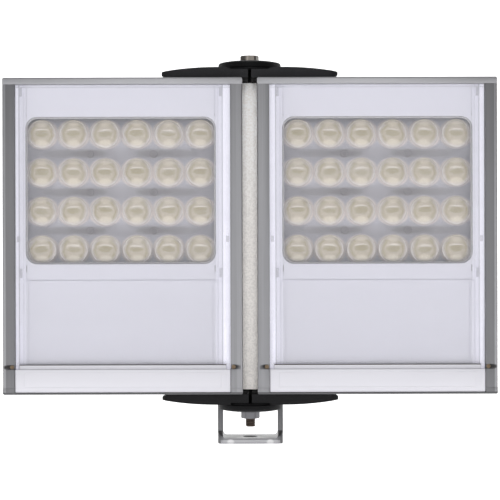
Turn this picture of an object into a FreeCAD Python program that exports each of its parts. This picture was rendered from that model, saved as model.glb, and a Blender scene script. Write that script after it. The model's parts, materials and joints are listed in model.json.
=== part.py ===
import FreeCAD, Part
import math
import os
import Sketcher

# Twin-panel white light illuminator, in millimetres.
# The origin is the centre of the bracket's base hole, on the face that is bolted down.
# X runs across the two panels, Y runs away from the lit side and Z is up.

SIZES = {
    # Panels, measured in a panel's own frame: across, depth from the front plane, up
    "panel_wide": 180.0,
    "panel_tall": 238.0,
    "panel_low": 46.0,
    "panel_gap": 11.2,
    "side_deep": 22.0,
    "shell_deep": 28.0,
    "back_wide": 164.0,
    "rail_wide": 9.0,
    "back_wall": 4.0,
    "groove_front": 1.5,
    "groove_reach": 1.6,
    "end_thick": 5.0,
    "end_edge": 0.8,
    "fin_count": 13.0,
    "fin_pitch": 11.0,
    "fin_thick": 2.0,
    "fin_deep": 12.0,
    "fin_start": 27.9,
    "screw_port_deep": 12.0,
    "screw_port_bore": 3.6,
    # Things held in the panel
    "insert_shift": 0.6,
    "insert_out": 1.0,
    "slide_play": 0.2,
    "cover_thick": 3.0,
    "mask_back": 8.2,
    "mask_field": 5.7,
    "mask_step": 6.3,
    "mask_edge": 5.8,
    "mask_inner_line": 72.6,
    "mask_outer_line": 76.5,
    "window_wide": 143.6,
    "window_tall": 111.3,
    "window_round": 9.0,
    "window_slope": 1.5,
    "window_drop": 24.0,
    "bead_up": 86.2,
    "bead_low": 12.0,
    "bead_half": 73.2,
    "bead_wide": 0.6,
    "bead_deep": 0.9,
    "bead_round": 3.4,
    "low_line": 69.2,
    "high_line": 70.9,
    "tab_proud": 0.6,
    "tab_wide": 2.2,
    "tab_tall": 7.0,
    "tab_line": 75.2,
    "tab_high": 227.5,
    "tab_middle": 91.2,
    "rest_tall": 4.5,
    "rest_up": 116.8,
    "strip_top": 52.5,
    "lens_drop": 1.0,
    "lens_columns": 6.0,
    "lens_rows": 4.0,
    "lens_pitch_across": 23.95,
    "lens_pitch_up": 29.1,
    "lens_wide": 21.6,
    "lens_foot": 9.0,
    "lens_front": 10.0,
    "lens_tall": 11.0,
    "led_wide": 3.5,
    "led_tall": 1.0,
    "board_thick": 1.6,
    "board_margin": 3.0,
    "board_round": 2.0,
    "board_screw_head": 5.5,
    "board_screw_tall": 2.0,
    "board_screw_columns": 2.0,
    "board_screw_pitch": 48.2,
    "bar_tall": 17.3,
    "bar_low": 1.6,
    "bar_front": 0.5,
    "bar_back": 7.0,
    "bar_lip_tall": 3.6,
    "bar_lip_front": 2.2,
    "bar_gap": 0.7,
    "lock_notch_wide": 10.5,
    "lock_notch_tall": 3.4,
    "lock_notch_in": 3.0,
    "lock_notch_deep": 2.6,
    "lock_screw_wide": 3.2,
    "lock_screw_in": 6.9,
    "lock_screw_tall": 1.6,
    "gland_up": 32.0,
    "gland_bore": 16.0,
    "gland_hex": 20.0,
    "gland_nut": 5.0,
    "gland_dome": 9.0,
    "gland_clear": 30.0,
    "gland_round": 3.0,
    "gland_lip": 0.6,
    "gland_taper": 4.0,
    "cord_bore": 7.0,
    "end_screw_head": 6.0,
    "end_screw_tall": 2.0,
    "end_screw_bite": 3.0,
    "screw_play": 0.1,
    "cut_over": 1.0,
    # Swivel hub
    "hub_front": 70.0,
    "hub_back": 44.0,
    "collar_tall": 4.6,
    "collar_radius": 16.0,
    "spigot_radius": 5.7,
    "play": 0.3,
    "hub_radius": 24.5,
    "hub_slit": 2.4,
    "hub_top": 12.1,
    "tooth_floor": 10.3,
    "tooth_step": 3.0,
    "tooth_deep": 0.7,
    "tooth_inner": 13.5,
    "tooth_gap": 0.15,
    "tooth_over": 0.2,
    "tooth_share": 0.8,
    "boss_radius": 22.2,
    "chord": 15.0,
    "pan_reach": 36.0,
    "arm_reach": 66.5,
    "recess_flat": 14.0,
    "recess_end": 18.0,
    "recess_top": 6.6,
    "arm_front": 6.0,
    "arm_rear": 26.0,
    "arm_round": 6.0,
    "arm_tall": 8.2,
    "arm_shoulder": 26.0,
    "arm_drop": 3.6,
    "arm_bevel": 3.0,
    "arm_screw_head": 7.0,
    "arm_screw_tall": 2.6,
    "arm_screw_seat": 2.2,
    "arm_screw_bore": 4.4,
    "arm_screw_first": 21.0,
    "arm_screw_pitch": 19.5,
    "arm_screw_count": 3.0,
    "cap_rim": 24.4,
    "cap_rim_tall": 2.4,
    "cap_round": 1.8,
    "cap_flat": 12.0,
    "cap_top": 17.9,
    "cap_sink": 0.8,
    "cap_hollow": 0.6,
    "head_across": 13.0,
    "head_tall": 5.3,
    "nut_tall": 6.5,
    "bolt_wide": 8.0,
    "bolt_bore": 8.6,
    "bolt_proud": 6.5,
    "bolt_tip": 1.0,
    "nut_play": 0.5,
    "bolt_turn": 10.0,
    # Post and tilt bracket
    "post_wide": 34.0,
    "post_deep": 30.0,
    "post_wall": 3.0,
    "post_round": 3.0,
    "plug_deep": 5.0,
    "pivot_up": 62.0,
    "knuckle_radius": 16.0,
    "flange_tall": 34.0,
    "flange_thick": 5.0,
    "flange_screw_first": 10.0,
    "flange_screw_pitch": 16.0,
    "flange_screw_wide": 6.0,
    "flange_screw_head": 10.0,
    "flange_screw_tall": 6.0,
    "bracket_wide": 52.0,
    "bracket_thick": 4.0,
    "bracket_deep": 40.0,
    "leg_deep": 30.0,
    "leg_flare": 5.0,
    "leg_foot": 1.0,
    "base_round": 5.0,
    "bend_inner": 3.0,
    "base_hole": 12.0,
    "base_edge": 1.0,
    "washer_radius": 15.0,
}


class Size:
    """A length that knows both its formula for the spreadsheet and its number."""

    def __init__(self, text, value):
        self.text = text
        self.value = value

    def __add__(self, other):
        return join(self, "+", other)

    def __radd__(self, other):
        return join(other, "+", self)

    def __sub__(self, other):
        return join(self, "-", other)

    def __rsub__(self, other):
        return join(other, "-", self)

    def __mul__(self, other):
        return join(self, "*", other)

    def __rmul__(self, other):
        return join(other, "*", self)

    def __truediv__(self, other):
        return join(self, "/", other)

    def __neg__(self):
        return join(0.0, "-", self)


def as_size(number):
    """A plain number becomes a size whose formula is the number itself."""
    if isinstance(number, Size):
        return number
    return Size("(%r)" % float(number), float(number))


def join(first, sign, second):
    """The size that one sign makes of two."""
    first = as_size(first)
    second = as_size(second)
    number = {
        "+": lambda: first.value + second.value,
        "-": lambda: first.value - second.value,
        "*": lambda: first.value * second.value,
        "/": lambda: first.value / second.value,
    }[sign]()
    return Size("(%s %s %s)" % (first.text, sign, second.text), number)


doc = FreeCAD.newDocument("illuminator")
sheet = doc.addObject("Spreadsheet::Sheet", "sizes")
for row, (alias, number) in enumerate(SIZES.items(), start=1):
    sheet.set("A%d" % row, alias)
    sheet.set("B%d" % row, repr(number))
    sheet.setAlias("B%d" % row, alias)
doc.recompute()

sub_parts = {}


def size(alias):
    """The named size from the sheet."""
    return Size("sizes." + alias, SIZES[alias])


def bind(item, path, length):
    """Ties one property of an object to a formula on the sheet."""
    item.setExpression(path, as_size(length).text)


def keep(item, name):
    """Names a sub-part and adds it to those that are written."""
    item.Label = name
    sub_parts[name] = item
    return item


def new_body(name):
    return keep(doc.addObject("PartDesign::Body", name), name)


def new_solids(name, shapes):
    """A sub-part whose solids are made directly, one or many."""
    item = doc.addObject("Part::Feature", name)
    item.Shape = Part.makeCompound(shapes)
    return keep(item, name)


def place(item, across, back, up, turned=False):
    """Puts a sub-part where it belongs; turned stands it on its head, about Y."""
    turn = FreeCAD.Rotation(FreeCAD.Vector(0, 1, 0), 180 if turned else 0)
    where = FreeCAD.Vector(as_size(across).value, as_size(back).value, as_size(up).value)
    item.Placement = FreeCAD.Placement(where, turn)
    bind(item, "Placement.Base.x", across)
    bind(item, "Placement.Base.y", back)
    bind(item, "Placement.Base.z", up)
    return item


def new_sketch(body, role, name, offset=0.0):
    """A sketch on one of the body's own origin planes, moved along its normal."""
    sketch = body.newObject("Sketcher::SketchObject", body.Name + "_" + name)
    plane = [item for item in body.Origin.OriginFeatures if item.Role == role][0]
    sketch.AttachmentSupport = (plane, [""])
    sketch.MapMode = "FlatFace"
    bind(sketch, "AttachmentOffset.Base.z", offset)
    return sketch


def pin_point(sketch, element, vertex, across, up):
    """Fixes one point of a sketch by its two distances from the origin."""
    for kind, length in (("DistanceX", across), ("DistanceY", up)):
        if length is not None:
            number = sketch.addConstraint(
                Sketcher.Constraint(kind, -1, 1, element, vertex, as_size(length).value))
            bind(sketch, "Constraints[%d]" % number, length)


def draw_loop(sketch, corners):
    """Closes an outline through corners (across, up).

    A corner that also has (centre across, centre up, turn) starts an arc to the next corner,
    anticlockwise where turn is 1 and clockwise where it is -1.
    """
    ends = []
    count = len(corners)
    for number in range(count):
        start = corners[number]
        finish = corners[(number + 1) % count]
        ax, ay = as_size(start[0]).value, as_size(start[1]).value
        bx, by = as_size(finish[0]).value, as_size(finish[1]).value
        if len(start) == 2:
            line = Part.LineSegment(FreeCAD.Vector(ax, ay, 0), FreeCAD.Vector(bx, by, 0))
            ends.append((sketch.addGeometry(line, False), 1, 2))
            continue
        cx, cy = as_size(start[2]).value, as_size(start[3]).value
        radius = math.hypot(ax - cx, ay - cy)
        angles = [math.atan2(ay - cy, ax - cx), math.atan2(by - cy, bx - cx)]
        if start[4] < 0:
            angles.reverse()
        circle = Part.Circle(FreeCAD.Vector(cx, cy, 0), FreeCAD.Vector(0, 0, 1), radius)
        element = sketch.addGeometry(Part.ArcOfCircle(circle, *angles), False)
        ends.append((element, 1, 2) if start[4] > 0 else (element, 2, 1))
        upright = abs(by - ay) > abs(bx - ax)
        pin_point(sketch, element, 3, start[2] if upright else None, None if upright else start[3])
    for number in range(count):
        element, first, last = ends[number]
        following, next_first, _ = ends[(number + 1) % count]
        sketch.addConstraint(Sketcher.Constraint("Coincident", element, last, following, next_first))
        pin_point(sketch, element, first, corners[number][0], corners[number][1])


def draw_circle(sketch, across, up, radius):
    centre = FreeCAD.Vector(as_size(across).value, as_size(up).value, 0)
    circle = Part.Circle(centre, FreeCAD.Vector(0, 0, 1), as_size(radius).value)
    element = sketch.addGeometry(circle, False)
    pin_point(sketch, element, 3, across, up)
    number = sketch.addConstraint(Sketcher.Constraint("Radius", element, as_size(radius).value))
    bind(sketch, "Constraints[%d]" % number, radius)


def box_corners(left, right, low, high):
    return [(left, low), (right, low), (right, high), (left, high)]


def round_corners(left, right, low, high, radius):
    """A rectangle whose four corners are quarter arcs."""
    return [
        (left + radius, low), (right - radius, low, right - radius, low + radius, 1),
        (right, low + radius), (right, high - radius, right - radius, high - radius, 1),
        (right - radius, high), (left + radius, high, left + radius, high - radius, 1),
        (left, high - radius), (left, low + radius, left + radius, low + radius, 1),
    ]


def slot_corners(left, right, low, high):
    """A rectangle with half-round ends."""
    middle = (low + high) / 2
    radius = (high - low) / 2
    return [
        (left + radius, low), (right - radius, low, right - radius, middle, 1),
        (right - radius, high), (left + radius, high, left + radius, middle, 1),
    ]


def add_feature(body, kind, name, sketch, length, flip):
    feature = body.newObject(kind, body.Name + "_" + name)
    feature.Profile = sketch
    bind(feature, "Length", length)
    feature.Reversed = flip
    return feature


def pad(body, name, sketch, length, flip=False):
    return add_feature(body, "PartDesign::Pad", name, sketch, length, flip)


def pocket(body, name, sketch, length, flip=False):
    return add_feature(body, "PartDesign::Pocket", name, sketch, length, flip)


def ease(body, kind, name, amount, wanted):
    """A fillet or chamfer on the edges of the last feature that the test picks."""
    doc.recompute()
    base = body.Tip
    edges = ["Edge%d" % (number + 1) for number, edge in enumerate(base.Shape.Edges) if wanted(edge)]
    feature = body.newObject("PartDesign::" + kind, body.Name + "_" + name)
    feature.Base = (base, edges)
    bind(feature, "Radius" if kind == "Fillet" else "Size", amount)
    return feature


def disc(radius, low, tall, across=0.0, back=0.0):
    return Part.makeCylinder(radius, tall, FreeCAD.Vector(across, back, low))


def hexagon(across_flats, low, tall, turn=0.0):
    """A hexagonal prism about Z with its outer corners eased, as on bolt heads and nuts."""
    radius = across_flats / math.sqrt(3)
    corners = []
    for number in range(7):
        angle = math.radians(60 * number + turn)
        corners.append(FreeCAD.Vector(radius * math.cos(angle), radius * math.sin(angle), low))
    prism = Part.Face(Part.makePolygon(corners)).extrude(FreeCAD.Vector(0, 0, tall))
    easing = radius - across_flats / 2
    cone = Part.makeCone(radius + tall, radius - easing, tall + easing,
                         FreeCAD.Vector(0, 0, low), FreeCAD.Vector(0, 0, 1))
    return prism.common(cone)


half_wide = size("panel_wide") / 2
half_back = size("back_wide") / 2
inner_half = half_wide - size("rail_wide")
panel_top = size("panel_low") + size("panel_tall")
panel_offset = half_wide + size("panel_gap") / 2
hub_y = -size("hub_back")
front_y = hub_y - size("hub_front")
groove_back = size("groove_front") + size("cover_thick") + size("slide_play")
cavity_back = size("shell_deep") - size("back_wall")
port_across = half_wide - size("rail_wide") / 2
bar_top = size("bar_low") + size("bar_tall") + size("bar_lip_tall")
cover_low = bar_top + size("bar_gap")
lock_up = size("bar_low") + size("bar_tall") + size("bar_lip_tall") / 2
window_top = size("panel_tall") - size("end_thick") - size("window_drop")
window_low = window_top - size("window_tall")
lens_span_up = size("lens_pitch_up") * (size("lens_rows") - 1)
lens_row_low = (window_top + window_low) / 2 - size("lens_drop") - lens_span_up / 2
lens_span_across = size("lens_pitch_across") * (size("lens_columns") - 1)
board_front = cavity_back - size("board_thick")
over = size("cut_over")


def panel_outline(depth):
    """A panel's outline seen from above: flat sides, then slopes in to a narrower back."""
    slope = size("side_deep")
    return [
        (-half_wide, 0.0), (half_wide, 0.0), (half_wide, slope), (half_back, depth),
        (-half_back, depth), (-half_wide, slope),
    ]


def insert_middle(side):
    """Middle of the mask's window and of the lenses: a little outwards, and all moved one way."""
    return size("insert_out") * side - size("insert_shift")


def seat_panel(item, side):
    """Moves a piece from the panel's own frame to the left or right panel."""
    return place(item, panel_offset * side, front_y, size("panel_low"))


def make_housing(name, side):
    """Extruded aluminium shell: two rails with cover grooves and screw ports, a back and fins."""
    body = new_body(name)
    section = new_sketch(body, "XY_Plane", "section", size("end_thick"))
    lip = size("groove_front")
    reach = inner_half + size("groove_reach")
    draw_loop(section, [
        (-half_wide, 0.0), (-inner_half, 0.0), (-inner_half, lip), (-reach, lip), (-reach, groove_back),
        (-inner_half, groove_back), (-inner_half, cavity_back), (inner_half, cavity_back),
        (inner_half, groove_back), (reach, groove_back), (reach, lip), (inner_half, lip),
        (inner_half, 0.0), (half_wide, 0.0), (half_wide, size("side_deep")),
        (half_back, size("shell_deep")), (-half_back, size("shell_deep")), (-half_wide, size("side_deep")),
    ])
    for port in (-port_across, port_across):
        draw_circle(section, port, size("screw_port_deep"), size("screw_port_bore") / 2)
    tall = size("panel_tall") - 2 * size("end_thick")
    pad(body, "shell", section, tall)
    fin = new_sketch(body, "XY_Plane", "fin_section", size("end_thick"))
    first = -size("fin_pitch") * (size("fin_count") - 1) / 2
    draw_loop(fin, box_corners(first - size("fin_thick") / 2, first + size("fin_thick") / 2,
                               size("fin_start"), size("shell_deep") + size("fin_deep")))
    fin_pad = pad(body, "fin", fin, tall)
    doc.recompute()
    fins = body.newObject("PartDesign::LinearPattern", name + "_fins")
    fins.Originals = [fin_pad]
    fins.Direction = (fin, ["H_Axis"])
    bind(fins, "Length", size("fin_pitch") * (size("fin_count") - 1))
    bind(fins, "Occurrences", size("fin_count"))
    body.Tip = fins
    doc.recompute()
    clearing = new_sketch(body, "XZ_Plane", "gland_clearing", -size("shell_deep"))
    half_clear = size("gland_clear") / 2
    draw_loop(clearing, round_corners(-half_clear, half_clear, size("gland_up") - half_clear,
                                      size("gland_up") + half_clear, size("gland_round")))
    pocket(body, "clearing", clearing, size("fin_deep") + over)
    bore = new_sketch(body, "XZ_Plane", "gland_bore", -cavity_back + over)
    draw_circle(bore, 0.0, size("gland_up"), size("gland_bore") / 2)
    pocket(body, "bore", bore, size("back_wall") + 2 * over)
    notches = new_sketch(body, "XZ_Plane", "lock_notches")
    for hand in (-1, 1):
        ends = [inner_half * hand - size("lock_notch_in") * hand,
                (inner_half + size("lock_notch_wide") - size("lock_notch_in")) * hand]
        ends.sort(key=lambda end: end.value)
        draw_loop(notches, slot_corners(ends[0], ends[1], lock_up - size("lock_notch_tall") / 2,
                                        lock_up + size("lock_notch_tall") / 2))
    pocket(body, "notches", notches, size("lock_notch_deep"))
    return seat_panel(body, side)


def make_end_plate(name, side, low):
    """Flat end plate that closes the extrusion and carries the arm; the low one has a front step."""
    body = new_body(name)
    section = new_sketch(body, "XY_Plane", "section")
    draw_loop(section, panel_outline(size("shell_deep") + size("fin_deep")))
    pad(body, "plate", section, size("end_thick"))
    ease(body, "Chamfer", "edge", size("end_edge"),
         lambda edge: edge.BoundBox.ZLength < 0.01 and edge.BoundBox.ZMin > SIZES["end_thick"] - 0.01)
    holes = new_sketch(body, "XY_Plane", "screw_holes", size("end_thick") + over)
    heads = new_sketch(body, "XY_Plane", "screw_heads", size("end_thick") + over)
    port_radius = size("screw_port_bore") / 2 + size("slide_play")
    for hand in (-1, 1):
        draw_circle(holes, port_across * hand, size("screw_port_deep"), port_radius)
        draw_circle(heads, port_across * hand, size("screw_port_deep"),
                    size("end_screw_head") / 2 + size("slide_play"))
    hand = -side if low else side
    for across, back in arm_screw_places(hand):
        draw_circle(holes, across - panel_offset * hand, back + size("hub_front"), size("arm_screw_bore") / 2)
    pocket(body, "holes", holes, size("end_thick") + 2 * over)
    pocket(body, "heads", heads, size("end_screw_tall") + size("screw_play") + over)
    if low:
        step = new_sketch(body, "XY_Plane", "bar_step", -over)
        draw_loop(step, box_corners(-inner_half, inner_half, -over, size("bar_back") + size("slide_play")))
        pocket(body, "step", step, size("end_thick") - size("bar_low") + over + size("slide_play"), flip=True)
    if low:
        return place(body, panel_offset * side, front_y, size("panel_low") + size("end_thick"), turned=True)
    return place(body, panel_offset * side, front_y, panel_top - size("end_thick"))


def make_cover(name, side):
    """Clear sheet that slides down in the rail grooves."""
    body = new_body(name)
    half = inner_half + size("groove_reach") - size("slide_play")
    section = new_sketch(body, "XY_Plane", "section", cover_low)
    draw_loop(section, box_corners(-half, half, size("groove_front") + size("slide_play") / 2,
                                   size("groove_front") + size("slide_play") / 2 + size("cover_thick")))
    pad(body, "sheet", section, size("panel_tall") - size("end_thick") - size("slide_play") - cover_low)
    return seat_panel(body, side)


def make_mask(name, side):
    """White moulded mask: stepped ledges, clip tabs, fine lines and a window with a sloping edge."""
    body = new_body(name)
    middle = insert_middle(side)
    half = inner_half - size("slide_play")
    inner = size("mask_inner_line")
    outer = size("mask_outer_line")
    section = new_sketch(body, "XY_Plane", "section", size("end_thick") + size("slide_play"))
    draw_loop(section, [
        (-half, size("mask_edge")), (middle - outer, size("mask_edge")),
        (middle - outer, size("mask_step")), (middle - inner, size("mask_step")),
        (middle - inner, size("mask_field")), (middle + inner, size("mask_field")),
        (middle + inner, size("mask_step")), (middle + outer, size("mask_step")),
        (middle + outer, size("mask_edge")), (half, size("mask_edge")),
        (half, size("mask_back")), (-half, size("mask_back")),
    ])
    tall = size("panel_tall") - 2 * size("end_thick") - 2 * size("slide_play")
    pad(body, "sheet", section, tall)
    tabs = new_sketch(body, "XZ_Plane", "tabs", -(size("mask_edge") - size("tab_proud")))
    low = size("end_thick") + size("slide_play")
    for hand in (-1, 1):
        line = middle + size("tab_line") * hand
        rest = (half - size("tab_wide")) * hand
        for left, wide, up, high in (
                (line, size("tab_wide"), size("tab_high"), size("tab_tall")),
                (line, size("tab_wide"), size("tab_middle"), size("tab_tall")),
                (rest, size("tab_wide"), size("rest_up"), size("rest_tall")),
                (rest, size("tab_wide"), (low + size("strip_top")) / 2, size("strip_top") - low)):
            draw_loop(tabs, box_corners(left - wide / 2, left + wide / 2, up - high / 2, up + high / 2))
    pad(body, "tab", tabs, size("mask_back") - size("mask_edge") + size("tab_proud"), flip=True)
    slope = size("window_slope")
    half_window = size("window_wide") / 2 - slope
    window = new_sketch(body, "XZ_Plane", "window")
    draw_loop(window, round_corners(middle - half_window, middle + half_window, window_low + slope,
                                    window_top - slope, size("window_round") - slope))
    pocket(body, "window", window, size("mask_back") + over)
    ease(body, "Chamfer", "bevel", slope, lambda edge: is_window_edge(edge, middle.value))
    bead = new_sketch(body, "XZ_Plane", "bead", -size("mask_field"))
    wide = size("bead_wide")
    reach = size("bead_half")
    rounding = size("bead_round")
    for step in (0.0, wide):
        draw_loop(bead, round_corners(middle - reach + step, middle + reach - step, size("bead_low") + step,
                                      size("bead_up") - step, rounding - step))
    pocket(body, "bead", bead, size("bead_deep"))
    lines = new_sketch(body, "XZ_Plane", "lines", -size("mask_field"))
    for hand in (-1, 1):
        for across, low_end, high_end in (
                (size("low_line"), size("bead_low") + 2 * wide, size("bead_up") - 2 * wide),
                (size("high_line"), size("bead_up") + wide, window_low - wide),
                (size("high_line"), window_top + wide, size("panel_tall") - size("end_thick") - wide)):
            line = middle + across * hand
            draw_loop(lines, box_corners(line - wide / 2, line + wide / 2, low_end, high_end))
    pocket(body, "line", lines, size("bead_deep") / 2)
    return seat_panel(body, side)


def is_window_edge(edge, middle):
    """True for an edge of the mask's window that lies on the mask's front field."""
    box = edge.BoundBox
    reach = SIZES["window_wide"] / 2
    on_field = box.YLength < 0.01 and abs(box.YMin - SIZES["mask_field"]) < 0.01
    across = box.XMin > middle - reach and box.XMax < middle + reach
    return on_field and across and box.ZMin > window_low.value and box.ZMax < window_top.value


def lens_places(side):
    """Centres of the lenses, row by row, in the panel's own frame."""
    first = insert_middle(side) - lens_span_across / 2
    for row in range(int(SIZES["lens_rows"])):
        for column in range(int(SIZES["lens_columns"])):
            across = first + size("lens_pitch_across") * column
            yield across.value, (lens_row_low + size("lens_pitch_up") * row).value


def make_lenses(name, side):
    """One moulded cone lens over each light."""
    wide = SIZES["lens_wide"] / 2
    foot = SIZES["lens_foot"] / 2
    front = SIZES["lens_front"]
    shapes = []
    for across, up in lens_places(side):
        where = FreeCAD.Vector(across, front, up)
        shapes.append(Part.makeCone(wide, foot, SIZES["lens_tall"], where, FreeCAD.Vector(0, 1, 0)))
    return seat_panel(new_solids(name, shapes), side)


def make_leds(name, side):
    """Square light chips on the board, one behind each lens."""
    wide = SIZES["led_wide"]
    tall = SIZES["led_tall"]
    shapes = []
    for across, up in lens_places(side):
        corner = FreeCAD.Vector(across - wide / 2, board_front.value - tall, up - wide / 2)
        shapes.append(Part.makeBox(wide, tall, wide, corner))
    return seat_panel(new_solids(name, shapes), side)


def board_screw_places(side):
    """Screws between the lens rows, in upright columns."""
    for gap in range(int(SIZES["lens_rows"]) - 1):
        for column in range(int(SIZES["board_screw_columns"])):
            step = column - (SIZES["board_screw_columns"] - 1) / 2
            across = insert_middle(side) + size("board_screw_pitch") * step
            yield across, lens_row_low + size("lens_pitch_up") * (gap + 0.5)


def make_board(name, side):
    """Light board, flat on the inside of the back, with its screw holes."""
    body = new_body(name)
    edge = size("board_margin")
    half = size("window_wide") / 2 + edge
    face = new_sketch(body, "XZ_Plane", "outline", -board_front)
    middle = insert_middle(side)
    draw_loop(face, round_corners(middle - half, middle + half, window_low - edge, window_top + edge,
                                  size("board_round")))
    for across, up in board_screw_places(side):
        draw_circle(face, across, up, size("board_screw_head") / 4)
    pad(body, "sheet", face, size("board_thick"), flip=True)
    return seat_panel(body, side)


def make_board_screws(name, side):
    """Pan-head screws that hold the light board down."""
    radius = SIZES["board_screw_head"] / 2
    tall = SIZES["board_screw_tall"]
    back = FreeCAD.Vector(0, 1, 0)
    shapes = []
    for across, up in board_screw_places(side):
        where = FreeCAD.Vector(across.value, board_front.value - tall, up.value)
        head = Part.makeCylinder(radius, tall, where, back)
        shank = Part.makeCylinder(radius / 2 - SIZES["screw_play"], tall + SIZES["board_thick"], where, back)
        shapes.append(head.fuse(shank))
    return seat_panel(new_solids(name, shapes), side)


def make_bar(name, side):
    """White retaining bar across the foot of the panel, with a set-back lip under the cover."""
    body = new_body(name)
    half = inner_half - size("slide_play")
    front = size("bar_front")
    lip = size("bar_lip_front")
    face_top = size("bar_low") + size("bar_tall")
    section = new_sketch(body, "YZ_Plane", "section", -half)
    draw_loop(section, [
        (front, size("bar_low")), (size("bar_back"), size("bar_low")), (size("bar_back"), size("end_thick")),
        (groove_back, size("end_thick")), (groove_back, bar_top), (lip, bar_top), (lip, face_top),
        (front, face_top),
    ])
    pad(body, "bar", section, 2 * half)
    notches = new_sketch(body, "XZ_Plane", "lock_notches")
    for hand in (-1, 1):
        ends = [(half - size("lock_notch_in")) * hand, (half + over) * hand]
        ends.sort(key=lambda end: end.value)
        draw_loop(notches, box_corners(ends[0], ends[1], face_top, bar_top + over))
    pocket(body, "notches", notches, groove_back + over)
    return seat_panel(body, side)


def make_lock_screws(name, side):
    """Brass screws in the rail notches that lock the bar."""
    radius = SIZES["lock_screw_wide"] / 2
    tall = SIZES["lock_screw_tall"]
    deep = SIZES["lock_notch_deep"]
    shapes = []
    for hand in (-1, 1):
        across = (half_wide - size("lock_screw_in")).value * hand
        where = FreeCAD.Vector(across, deep - tall, lock_up.value)
        shapes.append(Part.makeCylinder(radius, tall, where, FreeCAD.Vector(0, 1, 0)))
    return seat_panel(new_solids(name, shapes), side)


def make_end_screws(name, side):
    """Screws sunk flush in both end plates and driven into the extrusion's ports."""
    radius = SIZES["screw_port_bore"] / 2 - SIZES["screw_play"]
    tall = SIZES["end_screw_tall"]
    long = SIZES["end_thick"] + SIZES["end_screw_bite"]
    deep = SIZES["screw_port_deep"]
    low = SIZES["screw_play"]
    high = SIZES["panel_tall"] - low
    shapes = []
    for hand in (-1, 1):
        across = port_across.value * hand
        for shank_low, head_low in ((low, low), (high - long, high - tall)):
            shank = disc(radius, shank_low, long, across, deep)
            head = disc(SIZES["end_screw_head"] / 2, head_low, tall, across, deep)
            shapes.append(shank.fuse(head))
    return seat_panel(new_solids(name, shapes), side)


def make_gland(name, side):
    """Cable gland in the back of the panel: hexagon, domed nut and bore, with no cord in it."""
    outer = hexagon(SIZES["gland_hex"], 0.0, SIZES["gland_nut"])
    stem_long = SIZES["back_wall"] + SIZES["cut_over"]
    stem = disc(SIZES["gland_bore"] / 2 - SIZES["slide_play"], -stem_long, stem_long)
    half = SIZES["gland_hex"] / 2
    dome = Part.makeCone(half - SIZES["gland_lip"], half - SIZES["gland_taper"], SIZES["gland_dome"],
                         FreeCAD.Vector(0, 0, SIZES["gland_nut"]), FreeCAD.Vector(0, 0, 1))
    bore = disc(SIZES["cord_bore"] / 2, SIZES["end_screw_tall"], SIZES["gland_nut"] + SIZES["gland_dome"])
    shape = outer.fuse(stem).fuse(dome).cut(bore)
    shape.rotate(FreeCAD.Vector(0, 0, 0), FreeCAD.Vector(1, 0, 0), -90)
    shape.translate(FreeCAD.Vector(0, SIZES["shell_deep"], SIZES["gland_up"]))
    return seat_panel(new_solids(name, [shape]), side)


def root(length):
    return Size("sqrt(%s)" % length.text, math.sqrt(length.value))


def cosine(angle):
    return Size("cos(%s)" % angle.text, math.cos(math.radians(angle.value)))


def sine(angle):
    return Size("sin(%s)" % angle.text, math.sin(math.radians(angle.value)))


def seat_hub(item, top):
    """Moves a hub piece from its own frame to one end of the panels; the low one hangs head down."""
    return place(item, 0.0, hub_y, panel_top if top else size("panel_low"), turned=not top)


def arm_screw_places(hand):
    """Centres of the arm's screws, from the hub axis."""
    back = -(size("hub_front") - (size("arm_front") + size("arm_rear")) / 2)
    for number in range(int(SIZES["arm_screw_count"])):
        yield (size("arm_screw_first") + size("arm_screw_pitch") * number) * hand, back


def groove_wedge(outer, floor, deep):
    """One V-shaped groove along +X that widens outwards; a negative depth opens downwards."""
    half_step = math.radians(SIZES["tooth_step"]) / 2
    over = SIZES["tooth_over"]
    rise = over if deep > 0 else -over
    wires = []
    for radius in (SIZES["tooth_inner"], outer):
        half = radius * math.tan(half_step) * SIZES["tooth_share"] * (abs(deep) + over) / abs(deep)
        points = [FreeCAD.Vector(radius, -half, floor + rise), FreeCAD.Vector(radius, half, floor + rise),
                  FreeCAD.Vector(radius, 0, floor - deep)]
        wires.append(Part.makePolygon(points + points[:1]))
    return Part.makeLoft(wires, True, True)


def radial_grooves(first, last, floor, deep):
    """Grooves one tooth step apart between two angles; they run out through the open front."""
    short = groove_wedge(SIZES["boss_radius"] + SIZES["play"], floor, deep)
    long = groove_wedge(SIZES["hub_radius"] + SIZES["cut_over"], floor, deep)
    wedges = []
    for number in range(int((last - first) / SIZES["tooth_step"] + 0.001)):
        angle = first + SIZES["tooth_step"] * (number + 0.5)
        across = math.cos(math.radians(angle)) * SIZES["hub_radius"]
        is_open = abs(across) < SIZES["chord"] - SIZES["cap_hollow"] and math.sin(math.radians(angle)) < 0
        groove = (long if is_open else short).copy()
        groove.rotate(FreeCAD.Vector(0, 0, 0), FreeCAD.Vector(0, 0, 1), angle)
        wedges.append(groove)
    return Part.makeCompound(wedges)


def cut_teeth(blank, name, grooves):
    """Cuts the grooves out of a finished blank."""
    tool = doc.addObject("Part::Feature", name + "_grooves")
    tool.Shape = grooves
    cut = doc.addObject("Part::Cut", name)
    cut.Base = blank
    cut.Tool = tool
    return keep(cut, name)


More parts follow.
